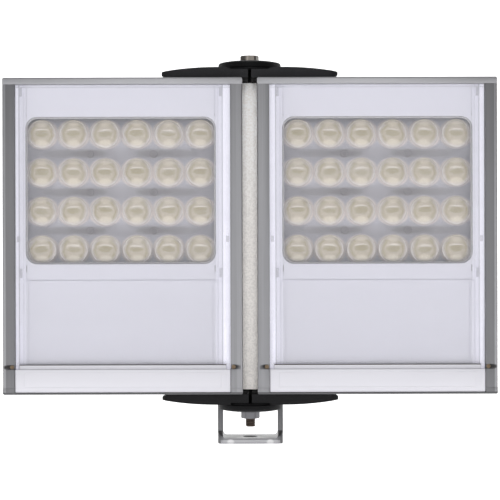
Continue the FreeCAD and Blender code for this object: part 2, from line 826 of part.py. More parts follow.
def make_arm(name, hand, top):
    """Arm between the hub and a panel's end: web, half hub with a toothed floor and a raised rim."""
    body = doc.addObject("PartDesign::Body", name + "_blank")
    reach = size("arm_reach")
    front = size("hub_front") - size("arm_front")
    rear = size("hub_front") - size("arm_rear")
    turn = 1 if hand > 0 else -1
    half_slit = size("hub_slit") / 2
    plan = new_sketch(body, "XY_Plane", "web_plan")
    rounding = size("arm_round")
    shank = reach - rounding
    draw_loop(plan, [
        (half_slit * hand, -front),
        (shank * hand, -front, shank * hand, -front + rounding, turn),
        (reach * hand, -front + rounding),
        (reach * hand, -rear - rounding, shank * hand, -rear - rounding, turn),
        (shank * hand, -rear),
        (size("hub_radius") * hand, 0.0),
        (half_slit * hand, 0.0),
    ])
    pad(body, "web", plan, size("arm_tall"))
    seat = new_sketch(body, "XY_Plane", "collar_seat", -over)
    draw_circle(seat, 0.0, 0.0, size("hub_radius") + over)
    hub_low = size("collar_tall") + size("play")
    pocket(body, "under", seat, hub_low + over, flip=True)
    bore = size("spigot_radius") + size("play")
    outer = size("hub_radius")
    end = 90 - size("pan_reach") - size("tooth_step") / 2
    half_hub = new_sketch(body, "XY_Plane", "half_hub", hub_low)
    draw_loop(half_hub, [
        (half_slit * hand, -root(bore * bore - half_slit * half_slit)),
        (half_slit * hand, -root(outer * outer - half_slit * half_slit), 0.0, 0.0, turn),
        (outer * cosine(end) * hand, outer * sine(end)),
        (bore * cosine(end) * hand, bore * sine(end), 0.0, 0.0, -turn),
    ])
    pad(body, "hub", half_hub, size("hub_top") - hub_low)
    above = size("hub_top") + over
    bore_sketch = new_sketch(body, "XY_Plane", "bore", above)
    draw_circle(bore_sketch, 0.0, 0.0, bore)
    pocket(body, "bore", bore_sketch, above + over)
    floor_sketch = new_sketch(body, "XY_Plane", "floor", above)
    draw_circle(floor_sketch, 0.0, 0.0, size("boss_radius") + size("play"))
    pocket(body, "floor", floor_sketch, above - size("tooth_floor"))
    chord = new_sketch(body, "XY_Plane", "chord", above)
    sides = sorted([-size("play") * hand, size("chord") * hand], key=lambda side: side.value)
    draw_loop(chord, box_corners(sides[0], sides[1], -outer - over, -size("chord")))
    pocket(body, "open_front", chord, above - size("tooth_floor"))
    recess = new_sketch(body, "XZ_Plane", "recess", front + over)
    draw_loop(recess, [
        (-over * hand, size("recess_top")), (size("recess_flat") * hand, size("recess_top")),
        (size("recess_end") * hand, size("arm_tall")), (size("recess_end") * hand, size("arm_tall") + over),
        (-over * hand, size("arm_tall") + over),
    ])
    pocket(body, "recess", recess, front + over - size("hub_radius"))
    slope = new_sketch(body, "XZ_Plane", "slope", front + over)
    run = reach - size("arm_shoulder")
    drop = size("arm_drop")
    bow = (run * run + drop * drop) / (2 * drop)
    shoulder = size("arm_shoulder")
    draw_loop(slope, [
        (shoulder * hand, size("arm_tall"), shoulder * hand, size("arm_tall") - bow, -turn),
        (reach * hand, size("arm_tall") - drop),
        ((reach + over) * hand, size("arm_tall") - drop),
        ((reach + over) * hand, size("arm_tall") + over),
        (shoulder * hand, size("arm_tall") + over),
    ])
    bevel = size("arm_bevel")
    draw_loop(slope, [
        ((reach - 2 * bevel) * hand, -over), ((reach + over) * hand, -over), ((reach + over) * hand, bevel),
    ])
    pocket(body, "slope", slope, size("hub_front"))
    heads = new_sketch(body, "XY_Plane", "screw_heads", above)
    shanks = new_sketch(body, "XY_Plane", "screw_shanks", above)
    for across, back in arm_screw_places(hand):
        draw_circle(heads, across, back, size("arm_screw_head") / 2 + size("play"))
        draw_circle(shanks, across, back, size("arm_screw_bore") / 2)
    pocket(body, "heads", heads, above - size("arm_screw_seat"))
    pocket(body, "shanks", shanks, above + over)
    doc.recompute()
    start = -90.0 + SIZES["tooth_step"]
    stop = 90.0 - SIZES["pan_reach"]
    if hand < 0:
        start, stop = 180.0 - stop, 180.0 - start
    grooves = radial_grooves(start, stop, SIZES["tooth_floor"], SIZES["tooth_deep"])
    return seat_hub(cut_teeth(body, name, grooves), top)


def make_arm_screws(name, side):
    """Socket screws that hold the two arms of one panel to its end plates."""
    shapes = []
    for up in (1, -1):
        for across, back in arm_screw_places(side):
            head = disc(SIZES["arm_screw_head"] / 2, SIZES["arm_screw_seat"], SIZES["arm_screw_tall"])
            long = SIZES["end_thick"] - SIZES["nut_play"]
            shank = disc(SIZES["arm_screw_bore"] / 2 - SIZES["slide_play"], -long,
                         SIZES["arm_screw_seat"] + long + SIZES["nut_play"])
            screw = head.fuse(shank)
            if up < 0:
                screw.rotate(FreeCAD.Vector(0, 0, 0), FreeCAD.Vector(1, 0, 0), 180)
            level = panel_top if up > 0 else size("panel_low")
            screw.translate(FreeCAD.Vector(across.value, back.value, level.value))
            shapes.append(screw)
    return place(new_solids(name, shapes), 0.0, hub_y, 0.0)


def make_collar(name, top):
    """Black collar: plug in the post, flange under the arms and a spacer through their bore."""
    body = new_body(name)
    half_wide_in = size("post_wide") / 2 - size("post_wall") - size("play")
    half_deep_in = size("post_deep") / 2 - size("post_wall") - size("play")
    plug = new_sketch(body, "XY_Plane", "plug", -size("plug_deep"))
    draw_loop(plug, box_corners(-half_wide_in, half_wide_in, -half_deep_in, half_deep_in))
    pad(body, "plug", plug, size("plug_deep"))
    flange = new_sketch(body, "XY_Plane", "flange")
    draw_circle(flange, 0.0, 0.0, size("collar_radius"))
    pad(body, "flange", flange, size("collar_tall"))
    spigot = new_sketch(body, "XY_Plane", "spigot")
    draw_circle(spigot, 0.0, 0.0, size("spigot_radius"))
    top_face = size("tooth_floor") + size("tooth_gap") + size("cap_hollow")
    pad(body, "spigot", spigot, top_face)
    bore = new_sketch(body, "XY_Plane", "bore", top_face + over)
    draw_circle(bore, 0.0, 0.0, size("bolt_bore") / 2)
    pocket(body, "bore", bore, top_face + size("plug_deep") + 2 * over)
    return seat_hub(body, top)


def make_cap(name, top):
    """Round cap with a rolled rim, a slightly domed top and a toothed ring that faces the arms."""
    body = doc.addObject("PartDesign::Body", name + "_blank")
    crest = size("tooth_floor") + size("tooth_gap")
    rim_low = size("hub_top") + size("play")
    rim_top = rim_low + size("cap_rim_tall")
    inner = size("tooth_inner") - size("play")
    bore = size("bolt_bore") / 2
    sink = size("head_across") / 2 / cosine(as_size(30)) + size("nut_play")
    flat = size("cap_flat")
    rounding = size("cap_round")
    shoulder = size("cap_rim") - rounding
    rise = size("cap_top") - rim_top - rounding
    run = shoulder - flat
    bow = (run * run + rise * rise) / (2 * rise)
    section = new_sketch(body, "XZ_Plane", "section")
    draw_loop(section, [
        (bore, crest + size("cap_hollow")), (inner, crest + size("cap_hollow")), (inner, crest),
        (size("boss_radius"), crest), (size("boss_radius"), rim_low), (size("cap_rim"), rim_low),
        (size("cap_rim"), rim_top, shoulder, rim_top, 1),
        (shoulder, rim_top + rounding, flat, size("cap_top") - bow, 1),
        (flat, size("cap_top")), (sink, size("cap_top")), (sink, size("cap_top") - size("cap_sink")),
        (bore, size("cap_top") - size("cap_sink")),
    ])
    turned = body.newObject("PartDesign::Revolution", name + "_turned")
    turned.Profile = section
    turned.ReferenceAxis = (section, ["V_Axis"])
    turned.Angle = 360.0
    doc.recompute()
    grooves = radial_grooves(0.0, 360.0, crest.value, -SIZES["tooth_deep"])
    return seat_hub(cut_teeth(body, name, grooves), top)


def make_post(name):
    """Hollow upright between the collars, with threaded holes for the knuckle in its back."""
    body = new_body(name)
    half_across = size("post_wide") / 2
    half_back_to_front = size("post_deep") / 2
    wall = size("post_wall")
    section = new_sketch(body, "XY_Plane", "section")
    draw_loop(section, round_corners(-half_across, half_across, -half_back_to_front, half_back_to_front,
                                     size("post_round")))
    draw_loop(section, box_corners(-half_across + wall, half_across - wall,
                                   -half_back_to_front + wall, half_back_to_front - wall))
    pad(body, "tube", section, size("panel_tall"))
    holes = new_sketch(body, "XZ_Plane", "knuckle_holes", -half_back_to_front + wall + over)
    for up in knuckle_screw_heights():
        draw_circle(holes, 0.0, up - size("panel_low"), size("flange_screw_wide") / 2)
    pocket(body, "holes", holes, wall + 2 * over)
    return place(body, 0.0, hub_y, size("panel_low"))


def knuckle_screw_heights():
    """Heights of the two screws through the knuckle's flange."""
    flange_low = size("pivot_up") + size("knuckle_radius")
    for number in range(2):
        yield flange_low + size("flange_screw_first") + size("flange_screw_pitch") * number


def make_knuckle(name):
    """Cast knuckle on the back of the post: round boss for the tilt bolt and an upright flange."""
    body = new_body(name)
    half_across = size("post_wide") / 2
    front = size("post_deep") / 2
    pivot = size("pivot_up")
    radius = size("knuckle_radius")
    side_view = new_sketch(body, "YZ_Plane", "side_view", -half_across)
    draw_loop(side_view, [
        (front, pivot - radius), (size("hub_back"), pivot - radius, size("hub_back"), pivot, 1),
        (size("hub_back"), pivot + radius), (front + size("flange_thick"), pivot + radius),
        (front + size("flange_thick"), pivot + radius + size("flange_tall")),
        (front, pivot + radius + size("flange_tall")),
    ])
    pad(body, "block", side_view, 2 * half_across)
    bore = new_sketch(body, "YZ_Plane", "bore", -half_across - over)
    draw_circle(bore, size("hub_back"), pivot, size("bolt_bore") / 2)
    pocket(body, "bore", bore, 2 * half_across + 2 * over, flip=True)
    holes = new_sketch(body, "XZ_Plane", "flange_holes", -front + over)
    for up in knuckle_screw_heights():
        draw_circle(holes, 0.0, up, size("flange_screw_wide") / 2)
    pocket(body, "holes", holes, size("flange_thick") + 2 * over)
    return place(body, 0.0, hub_y, 0.0)


def make_knuckle_screws(name):
    """Socket screws that hold the knuckle to the post."""
    front = SIZES["post_deep"] / 2
    back = FreeCAD.Vector(0, 1, 0)
    shapes = []
    for up in knuckle_screw_heights():
        start = front - SIZES["post_wall"] - SIZES["cut_over"]
        long = SIZES["post_wall"] + SIZES["flange_thick"] + 2 * SIZES["cut_over"]
        shank = Part.makeCylinder(SIZES["flange_screw_wide"] / 2 - SIZES["screw_play"], long,
                                  FreeCAD.Vector(0, start, up.value), back)
        head = Part.makeCylinder(SIZES["flange_screw_head"] / 2, SIZES["flange_screw_tall"],
                                 FreeCAD.Vector(0, front + SIZES["flange_thick"], up.value), back)
        shapes.append(head.fuse(shank))
    return place(new_solids(name, shapes), 0.0, hub_y, 0.0)


def hex_bolt(under_head, turn=0.0):
    """A hexagon bolt that hangs down from its head; the head's seat is at height 0."""
    radius = SIZES["bolt_wide"] / 2
    tip = SIZES["bolt_tip"]
    head = hexagon(SIZES["head_across"], 0.0, SIZES["head_tall"], turn)
    shank = disc(radius, -under_head + tip, under_head)
    end = Part.makeCone(radius - tip, radius, tip, FreeCAD.Vector(0, 0, -under_head))
    return head.fuse([shank, end]).removeSplitter()


def hex_nut():
    """A nut whose seat is at height 0 and that hangs down."""
    tall = SIZES["nut_tall"]
    blank = hexagon(SIZES["head_across"], 0.0, tall)
    blank.rotate(FreeCAD.Vector(0, 0, 0), FreeCAD.Vector(1, 0, 0), 180)
    return blank.cut(disc(SIZES["bolt_wide"] / 2, -tall - SIZES["cut_over"], tall + 2 * SIZES["cut_over"]))


def make_clamp(bolt_name, nut_name):
    """Long bolt through both hubs and the post, with its nut under the lower cap."""
    stack = size("cap_top") - size("cap_sink")
    under_head = size("panel_tall") + 2 * stack + size("nut_tall") + size("bolt_proud")
    bolt = new_solids(bolt_name, [hex_bolt(under_head.value, SIZES["bolt_turn"])])
    place(bolt, 0.0, hub_y, panel_top + stack)
    place(new_solids(nut_name, [hex_nut()]), 0.0, hub_y, size("panel_low") - stack)


def make_tilt_pivot(bolt_name, nut_name, washers_name):
    """Cross bolt through the bracket and knuckle, its nut, and a friction disc on each side."""
    half = SIZES["bracket_wide"] / 2
    under_head = size("bracket_wide") + size("nut_tall") + size("bolt_proud") / 2
    lie = [FreeCAD.Vector(0, 0, 0), FreeCAD.Vector(0, 1, 0), -90]
    bolt = hex_bolt(under_head.value)
    bolt.rotate(*lie)
    bolt.translate(FreeCAD.Vector(-half, 0, 0))
    place(new_solids(bolt_name, [bolt]), 0.0, 0.0, size("pivot_up"))
    nut = hex_nut()
    nut.rotate(*lie)
    nut.translate(FreeCAD.Vector(half, 0, 0))
    place(new_solids(nut_name, [nut]), 0.0, 0.0, size("pivot_up"))
    inner = half - SIZES["bracket_thick"]
    thick = inner - SIZES["post_wide"] / 2 - SIZES["play"]
    across = FreeCAD.Vector(1, 0, 0)
    discs = []
    for start in (-inner, inner - thick):
        where = FreeCAD.Vector(start, 0, 0)
        blank = Part.makeCylinder(SIZES["washer_radius"], thick, where, across)
        discs.append(blank.cut(Part.makeCylinder(SIZES["bolt_bore"] / 2, thick, where, across)))
    place(new_solids(washers_name, discs), 0.0, 0.0, size("pivot_up"))


def make_bracket(name):
    """U bracket: round-cornered base with one hole, two narrower legs with round tops and a pivot bore."""
    body = new_body(name)
    half = size("bracket_wide") / 2
    thick = size("bracket_thick")
    bend = size("bend_inner")
    edge = size("base_edge")
    inner = half - thick
    reach = size("bracket_deep") / 2
    leg = size("leg_deep") / 2
    pivot = size("pivot_up")
    top = pivot + leg
    section = new_sketch(body, "XZ_Plane", "section", -reach)
    draw_loop(section, [
        (-half + edge, 0.0), (half - edge, 0.0, half - edge, edge, 1), (half, edge), (half, top),
        (inner, top), (inner, thick + bend, inner - bend, thick + bend, -1), (inner - bend, thick),
        (-inner + bend, thick, -inner + bend, thick + bend, -1), (-inner, thick + bend), (-inner, top),
        (-half, top), (-half, edge, -half + edge, edge, 1),
    ])
    pad(body, "channel", section, 2 * reach)
    legs = new_sketch(body, "YZ_Plane", "leg_outline", -half - over)
    foot = thick + size("leg_foot")
    draw_loop(legs, [
        (leg, pivot, 0.0, pivot, 1), (-leg, pivot), (-leg, foot + size("leg_flare")), (-reach - over, foot),
        (-reach - over, top + over), (reach + over, top + over), (reach + over, foot),
        (leg, foot + size("leg_flare")),
    ])
    pocket(body, "leg_outline", legs, 2 * half + 2 * over, flip=True)
    corners = new_sketch(body, "XY_Plane", "base_corners", top)
    rounding = size("base_round")
    for hand in (-1, 1):
        for end in (-1, 1):
            across = (half - rounding) * hand
            back = (reach - rounding) * end
            draw_loop(corners, [
                (half * hand, back, across, back, hand * end), (across, reach * end),
                (across, (reach + over) * end), ((half + over) * hand, (reach + over) * end),
                ((half + over) * hand, back),
            ])
    pocket(body, "base_corners", corners, top + over)
    bore = new_sketch(body, "YZ_Plane", "pivot_bore", -half - over)
    draw_circle(bore, 0.0, pivot, size("bolt_bore") / 2)
    pocket(body, "pivot_bore", bore, 2 * half + 2 * over, flip=True)
    hole = new_sketch(body, "XY_Plane", "base_hole", thick + over)
    draw_circle(hole, 0.0, 0.0, size("base_hole") / 2)
    pocket(body, "base_hole", hole, thick + 2 * over)
    return body


def make_panel(side_name, side):
    """All pieces of one panel, with the two arms that carry it."""
    make_housing(side_name + "_housing", side)
    make_end_plate(side_name + "_top_plate", side, low=False)
    make_end_plate(side_name + "_bottom_plate", side, low=True)
    make_cover(side_name + "_cover", side)
    make_mask(side_name + "_mask", side)
    make_lenses(side_name + "_lenses", side)
    make_leds(side_name + "_leds", side)
    make_board(side_name + "_board", side)
    make_board_screws(side_name + "_board_screws", side)
    make_bar(side_name + "_bar", side)
    make_lock_screws(side_name + "_lock_screws", side)
    make_end_screws(side_name + "_end_screws", side)
    make_gland(side_name + "_gland", side)
    make_arm(side_name + "_top_arm", side, top=True)
    make_arm(side_name + "_bottom_arm", -side, top=False)
    make_arm_screws(side_name + "_arm_screws", side)


def check_model():
    """Stops if any object failed or any sub-part has no sound shape."""
    doc.recompute()
    for item in doc.Objects:
        if "Invalid" in item.State or "Error" in item.State:
            raise RuntimeError("failed: " + item.Name)
    for name, item in sub_parts.items():
        if item.Shape.isNull() or not item.Shape.isValid():
            raise RuntimeError("no sound shape: " + name)


make_bracket("bracket")
make_tilt_pivot("tilt_bolt", "tilt_nut", "tilt_washers")
make_post("post")
make_knuckle("knuckle")
make_knuckle_screws("knuckle_screws")
for end_name, is_top in (("top", True), ("bottom", False)):
    make_collar(end_name + "_collar", is_top)
    make_cap(end_name + "_cap", is_top)
make_clamp("clamp_bolt", "clamp_nut")
for panel_name, panel_side in (("left", -1), ("right", 1)):
    make_panel(panel_name, panel_side)
check_model()

os.makedirs("parts", exist_ok=True)
for node, part in sub_parts.items():
    part.Shape.exportStep("parts/%s.step" % node)
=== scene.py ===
import json
import math

import bmesh
import bpy
from bpy.props import FloatProperty, FloatVectorProperty, IntProperty, PointerProperty
from mathutils import Matrix, Vector

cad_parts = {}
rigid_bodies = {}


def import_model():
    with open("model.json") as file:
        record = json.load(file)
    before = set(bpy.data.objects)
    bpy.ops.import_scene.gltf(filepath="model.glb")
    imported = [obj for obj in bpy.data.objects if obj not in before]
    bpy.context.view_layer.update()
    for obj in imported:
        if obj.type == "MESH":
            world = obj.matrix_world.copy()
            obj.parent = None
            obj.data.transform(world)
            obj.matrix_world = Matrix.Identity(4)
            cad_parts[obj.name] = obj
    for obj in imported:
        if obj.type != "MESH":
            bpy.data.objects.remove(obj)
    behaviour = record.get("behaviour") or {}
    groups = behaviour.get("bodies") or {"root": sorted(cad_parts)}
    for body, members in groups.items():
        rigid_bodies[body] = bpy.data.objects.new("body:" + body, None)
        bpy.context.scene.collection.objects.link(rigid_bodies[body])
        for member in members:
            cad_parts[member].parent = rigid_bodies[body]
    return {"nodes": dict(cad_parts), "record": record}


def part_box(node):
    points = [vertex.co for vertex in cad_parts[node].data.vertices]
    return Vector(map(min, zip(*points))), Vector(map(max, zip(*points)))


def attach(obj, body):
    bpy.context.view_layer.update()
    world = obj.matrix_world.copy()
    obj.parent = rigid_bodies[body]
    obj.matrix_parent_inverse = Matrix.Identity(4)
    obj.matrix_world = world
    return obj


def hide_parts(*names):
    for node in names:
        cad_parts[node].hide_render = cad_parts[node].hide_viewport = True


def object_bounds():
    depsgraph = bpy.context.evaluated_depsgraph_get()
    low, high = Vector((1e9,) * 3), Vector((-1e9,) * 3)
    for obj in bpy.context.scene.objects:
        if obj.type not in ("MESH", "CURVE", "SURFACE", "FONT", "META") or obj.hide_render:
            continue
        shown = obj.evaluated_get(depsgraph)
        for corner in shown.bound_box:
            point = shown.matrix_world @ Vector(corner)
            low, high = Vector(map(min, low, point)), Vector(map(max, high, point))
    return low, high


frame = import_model()
CAD_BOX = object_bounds()

bl_info = {
    "name": "Twin-panel illuminator finish",
    "version": (1, 0, 0),
    "blender": (4, 5, 0),
    "location": "3D View > Sidebar > Illuminator",
    "description": "Finishes the surfaces of a twin-panel white light illuminator",
    "category": "Object",
}

SIDES = ("left", "right")
ENDS = ("top", "bottom")
GAP_NODES = ("post", "knuckle")
MM = 0.001

# The photograph in pixels, and the camera that looks as it does.
PHOTO_SIDE = 500
PANEL_PIXELS = 240.1
CAMERA_AWAY = 1.5
CAMERA_ROLL = 0.145
EYE_HIGH = 0.1543

# Extrusion: places from a panel's middle line and heights. An oval is its middle and its half sizes.
# They place painted shade: the rails' inner strips, the plates' foot and a shadow oval in each slot.
MASK_MIDDLE = 0.0966
RAIL_LINE = 0.0866
RAIL_SOFT = 0.0003
PLATE_SHADE_TOP = 0.0478
SLOT_SHADOW = (0.0841, 0.0667, 0.0056, 0.0021)
SLOT_BACK = -0.11

# White mask: each ledge is where it starts and how bright it is painted, as light and shade.
LEDGES = ((0.0706, 0.84), (0.0713, 1.0), (0.0731, 0.93), (0.0736, 1.07), (0.0761, 0.8), (0.0768, 1.13))
# Where a painted glow on the outermost strips begins.
PAINTED_GLOW_FROM = 0.0771
INSERT_SHIFT = 0.0006
MASK_FRONT = -0.1083
MASK_FOOT = (0.09, 0.2)
# Where the window's painted shade lies.
WINDOW_SIDE = 0.0719
WINDOW_LOW = 0.138
WINDOW_HIGH = 0.2565
WINDOW_LIP = (0.0001, 0.0003)
WINDOW_DEEP = 0.0016
# Where the tabs' painted shade lies.
TAB_FRONT = -0.1085
TABS_FROM = 0.12
# The height of a painted line of shade near the top.
TOP_LINE = (0.2766, 0.2772)

# White bar: its dark lip, and how far the fine frame stands in from its foot and top.
BAR_LIP = 0.0006
FRAME_FOOT = 0.0036
FRAME_TOP = 0.0059

# Board and lenses: the screws, their smears and the painted halos of light round the lenses.
SCREW_REACH = 0.0241
SMEAR_REACH = 0.0447
SCREW_LOW = 0.1692
LENS_PITCH_ACROSS = 0.02395
LENS_PITCH_UP = 0.0291
SMEAR_WIDE = 0.0145
SMEAR_TALL = 0.0034
BOARD_BEHIND = 0.9929
HALO = (0.0113, 0.0146)
LENS_EDGE = 0.0004
LENS_FOOT = 0.42
DOME_RINGS = 7

# Hub and post: the hub's axis (depth, middle height), its painted shade, and the coat's painted lighter end.
HUB_MIDDLE = (-0.044, 0.165)
ARM_INSIDE = 0.1192
ARM_GAP = 0.0066
HUB_CORE = (0.0166, 0.0185)
CORE_HIGH = 0.1294
CAP_FROM = 0.2962
POST_SHADE = (0.16, 0.27)

# Bracket: heights of painted shade and highlight on its base and legs, and how deep its lit front end
# reaches.
BRACKET_GLINT = (0.0158, 0.0013, 0.0034, 0.0026)
LIT_FRONT_DEEP = (0.0004, 0.0012)
BASE_TOP = (0.0041, 0.006)
BASE_EDGE = (0.0026, 0.003)
LEG_FOOT = (0.005, 0.008)

# Bolts and nuts: facets with a painted dark reflection, chamfers, washer face and thread.
FACET = (0.0034, 0.0039)
HEAD_REACH = 0.009
POINT = 0.0006
CORE_CHAMFER = 0.0005
RUN_OUT = 0.0003
WASHER_FACE = 0.0004
RIDGE_SUNK = 0.00002
NUT_SINK = 0.0005
NUT_FACE = 0.0003
THREAD_NUTS = 2.4
LEAST_NUT = 0.004

# Hexagons, as shares of half their width over the flats: corners, chamfer and turned faces.
HEX_CORNER = 1.125
HEX_CHAMFER = 1.02
HEAD_FACE = 0.95
NUT_ROUND = 0.97

# Screw heads, as shares of their size: straight side, top, drive and its depth.
HEAD_SIDE = 0.82
HEAD_TOP = 0.93
DRIVE_WIDE = 0.27
DRIVE_TAPER = 0.96
DRIVE_DEEP = 0.6

# Screws: the way they face, head width, head height and the sides of the drive.
ARM_SCREW = (2, 0.007, 0.0026, 6)
END_SCREW = (2, 0.006, 0.002, 6)
BOARD_SCREW = (1, 0.0055, 0.002, 4)
LOCK_SCREW = (1, 0.0032, 0.0016, 4)
KNUCKLE_SCREW = (-1, 0.01, 0.006, 6)


def srgb(red, green, blue):
    """A display colour, 0 to 255, as the linear colour that shaders take."""
    linear = []
    for channel in (red, green, blue):
        share = channel / 255
        linear.append(share / 12.92 if share <= 0.04045 else ((share + 0.055) / 1.055) ** 2.4)
    return tuple(linear)


def length(name, millimetres, description):
    return FloatProperty(name=name, description=description, default=millimetres * MM, unit="LENGTH")


def colour(name, shades, description):
    return FloatVectorProperty(name=name, description=description, default=srgb(*shades), size=3,
                               subtype="COLOR", min=0.0, max=1.0)


class IlluminatorSizes(bpy.types.PropertyGroup):
    """Sizes that the finish adds to the solids."""

    edge_metal: length("Metal edge", 0.35, "Radius broken on the edges of the extrusion and plates")
    edge_bracket: length("Bracket edge", 0.5, "Radius broken on the edges of the U bracket")
    rail_round: length("Rail rounding", 0.9, "Radius along the outer edges of the extrusion's front")
    edge_post: length("Post edge", 0.6, "Softness of the powder coat at the post's edges")
    edge_bar: length("Bar edge", 0.5, "Radius moulded on the edges of the white bars")
    lens_dome: length("Lens dome", 1.6, "Height of each lens's front above its rim")
    lens_rim: length("Lens rim", 0.9, "Width of the flat rim round each lens")
    frame_in: length("Bar frame margin", 6.8, "How far the fine frame on each bar stands in from its ends")
    frame_wide: length("Bar frame", 0.5, "Width of the fine frame moulded on each bar")
    frame_proud: length("Bar frame height", 0.16, "How far that frame stands out")
    thread_pitch: length("Thread pitch", 1.25, "Distance between the turns of the bolt's thread")
    thread_deep: length("Thread depth", 0.65, "Height of the bolt's thread above its core")
    turns_around: IntProperty(name="Steps round", description="Sides of bolts and nuts", default=72, min=24)


class IlluminatorColours(bpy.types.PropertyGroup):
    """Colours of the finishes."""

    metal: colour("Extrusion", (150, 150, 153), "Satin anodised aluminium")
    mask: colour("Mask", (232, 231, 242), "White moulded mask")
    bar: colour("Bar", (228, 227, 234), "White retaining bar")
    lens: colour("Lens", (194, 183, 165), "Cream of the moulded lenses")
    heart: colour("Lens heart", (164, 153, 121), "Olive band across the middle of each lens")
    glow: colour("Lens highlight", (226, 217, 200), "Soft highlights in each lens")
    # Partly the lenses' real pale rims, partly painted halos of light round them.
    halo: colour("Lens rim", (206, 199, 197), "Pale rim round each lens")
    board: colour("Board", (198, 198, 209), "Grey ground behind the lenses")
    smudge: colour("Board shadow", (146, 143, 147), "Darker patches between the lens rows")
    black: colour("Black moulding", (40, 40, 42), "Hub, arms and glands")
    coat: colour("Powder coat", (236, 232, 228), "Off-white of the post")
    steel: colour("Steel", (144, 138, 131), "Bolts and screws")
    zinc: colour("Zinc", (115, 115, 118), "Nuts")
    # Colour of the threads' crests; the grooves between the turns take it much darker as painted shade.
    thread_tone: colour("Darkened thread", (92, 81, 75), "Crests of the bolts' threads")
    brass: colour("Brass", (112, 98, 82), "Locking screws")
    ground: colour("Ground", (250, 250, 250), "Floor and backdrop")


def sizes():
    return bpy.context.scene.illuminator_sizes


def colours():
    return bpy.context.scene.illuminator_colours


def scaled(shade, factor):
    return tuple(min(1.0, channel * factor) for channel in shade)


class Value:
    """A shader socket that Python's operators work on."""

    def __init__(self, finish, socket):
        self.finish = finish
        self.socket = socket

    def maths(self, operation, *others):
        inputs = {number: other for number, other in enumerate(others)}
        return self.finish.value("ShaderNodeMath", {"operation": operation}, inputs)

    def __add__(self, other):
        return self.maths("ADD", self, other)

    __radd__ = __add__

    def __sub__(self, other):
        return self.maths("SUBTRACT", self, other)

    def __rsub__(self, other):
        return self.maths("SUBTRACT", other, self)

    def __mul__(self, other):
        return self.maths("MULTIPLY", self, other)

    __rmul__ = __mul__

    def __truediv__(self, other):
        return self.maths("DIVIDE", self, other)

    def power(self, other):
        return self.maths("POWER", self, other)

    def absolute(self):
        return self.maths("ABSOLUTE", self)

    def above(self, edge):
        return self.maths("GREATER_THAN", self, edge)

    def below(self, edge):
        return self.maths("LESS_THAN", self, edge)

    def largest(self, other):
        return self.maths("MAXIMUM", self, other)

    def repeat(self, step):
        """Distance from the nearest whole step."""
        share = self / step + 0.5
        return share.maths("FRACT", share) * step - step / 2

    def between(self, low, high):
        """0 up to low, 1 from high, with a smooth step."""
        settings = {"interpolation_type": "SMOOTHSTEP"}
        return self.finish.value("ShaderNodeMapRange", settings, {0: self, 1: low, 2: high, 3: 0.0, 4: 1.0})


class Finish:
    """One material, and the one method that makes its nodes."""

    def __init__(self, name, base, roughness=0.5, **constants):
        self.material = bpy.data.materials.new(name)
        self.material.use_nodes = True
        self.tree = self.material.node_tree
        self.tree.nodes.clear()
        self.shader = self.tree.nodes.new("ShaderNodeBsdfPrincipled")
        self.output = self.tree.nodes.new("ShaderNodeOutputMaterial")
        self.tree.links.new(self.shader.outputs[0], self.output.inputs[0])
        self.shader.inputs["Base Color"].default_value = (*base, 1.0)
        self.shader.inputs["Roughness"].default_value = roughness
        for socket, number in constants.items():
            self.shader.inputs[socket.replace("_", " ")].default_value = number
        self.material.diffuse_color = (*base, 1.0)

    def node(self, kind, settings=None, inputs=None):
        """A node with its settings made first, then the values or links of its inputs."""
        made = self.tree.nodes.new(kind)
        for name, setting in (settings or {}).items():
            setattr(made, name, setting)
        for key, given in (inputs or {}).items():
            socket = made.inputs[key]
            if isinstance(given, Value):
                self.tree.links.new(given.socket, socket)
            else:
                socket.default_value = given
        return made

    def value(self, kind, settings=None, inputs=None, output=0):
        return Value(self, self.node(kind, settings, inputs).outputs[output])

    def place(self, scale=(1.0, 1.0, 1.0)):
        """Object coordinates, stretched."""
        here = self.value("ShaderNodeTexCoord", output="Object")
        return self.value("ShaderNodeMapping", inputs={0: here, 3: scale})

    def axes(self):
        """The three object coordinates as numbers, in metres."""
        here = self.value("ShaderNodeTexCoord", output="Object")
        split = self.node("ShaderNodeSeparateXYZ", inputs={0: here})
        return [Value(self, socket) for socket in split.outputs]

    def noise(self, scale, stretch=(1.0, 1.0, 1.0), detail=3.0, rough=0.5):
        inputs = {"Vector": self.place(stretch), "Scale": scale, "Detail": detail, "Roughness": rough}
        return self.value("ShaderNodeTexNoise", inputs=inputs)

    def cells(self, scale):
        return self.value("ShaderNodeTexVoronoi", inputs={"Vector": self.place(), "Scale": scale})

    def blend(self, factor, first, second):
        """Mixes two colours, each given or linked."""
        inputs = {0: factor}
        for key, shade in ((6, first), (7, second)):
            inputs[key] = shade if isinstance(shade, Value) else (*shade, 1.0)
        return self.value("ShaderNodeMix", {"data_type": "RGBA"}, inputs, output=2)

    def link(self, socket, value):
        self.tree.links.new(value.socket, self.shader.inputs[socket])

    def bump(self, height, strength, distance):
        inputs = {"Strength": strength, "Distance": distance, "Height": height}
        self.link("Normal", self.value("ShaderNodeBump", inputs=inputs))

    def tint(self, base, amount, factor):
        """A colour that wanders a little darker and lighter with a factor from 0 to 1."""
        return self.blend(factor, scaled(base, 1 - amount), scaled(base, 1 + amount))

    def surface(self, tone, roughness, height, strength, distance=0.0001):
        """Links the colour, the roughness and the relief that a finish has, and gives its material."""
        self.link("Base Color", tone)
        self.link("Roughness", roughness)
        self.bump(height, strength, distance)
        return self.material


MADE = {}


def made_once(maker):
    """Makes a material or a tree the first time it is asked for and gives the same one after that."""
    def wrapped():
        if maker.__name__ not in MADE:
            MADE[maker.__name__] = maker()
        return MADE[maker.__name__]
    return wrapped


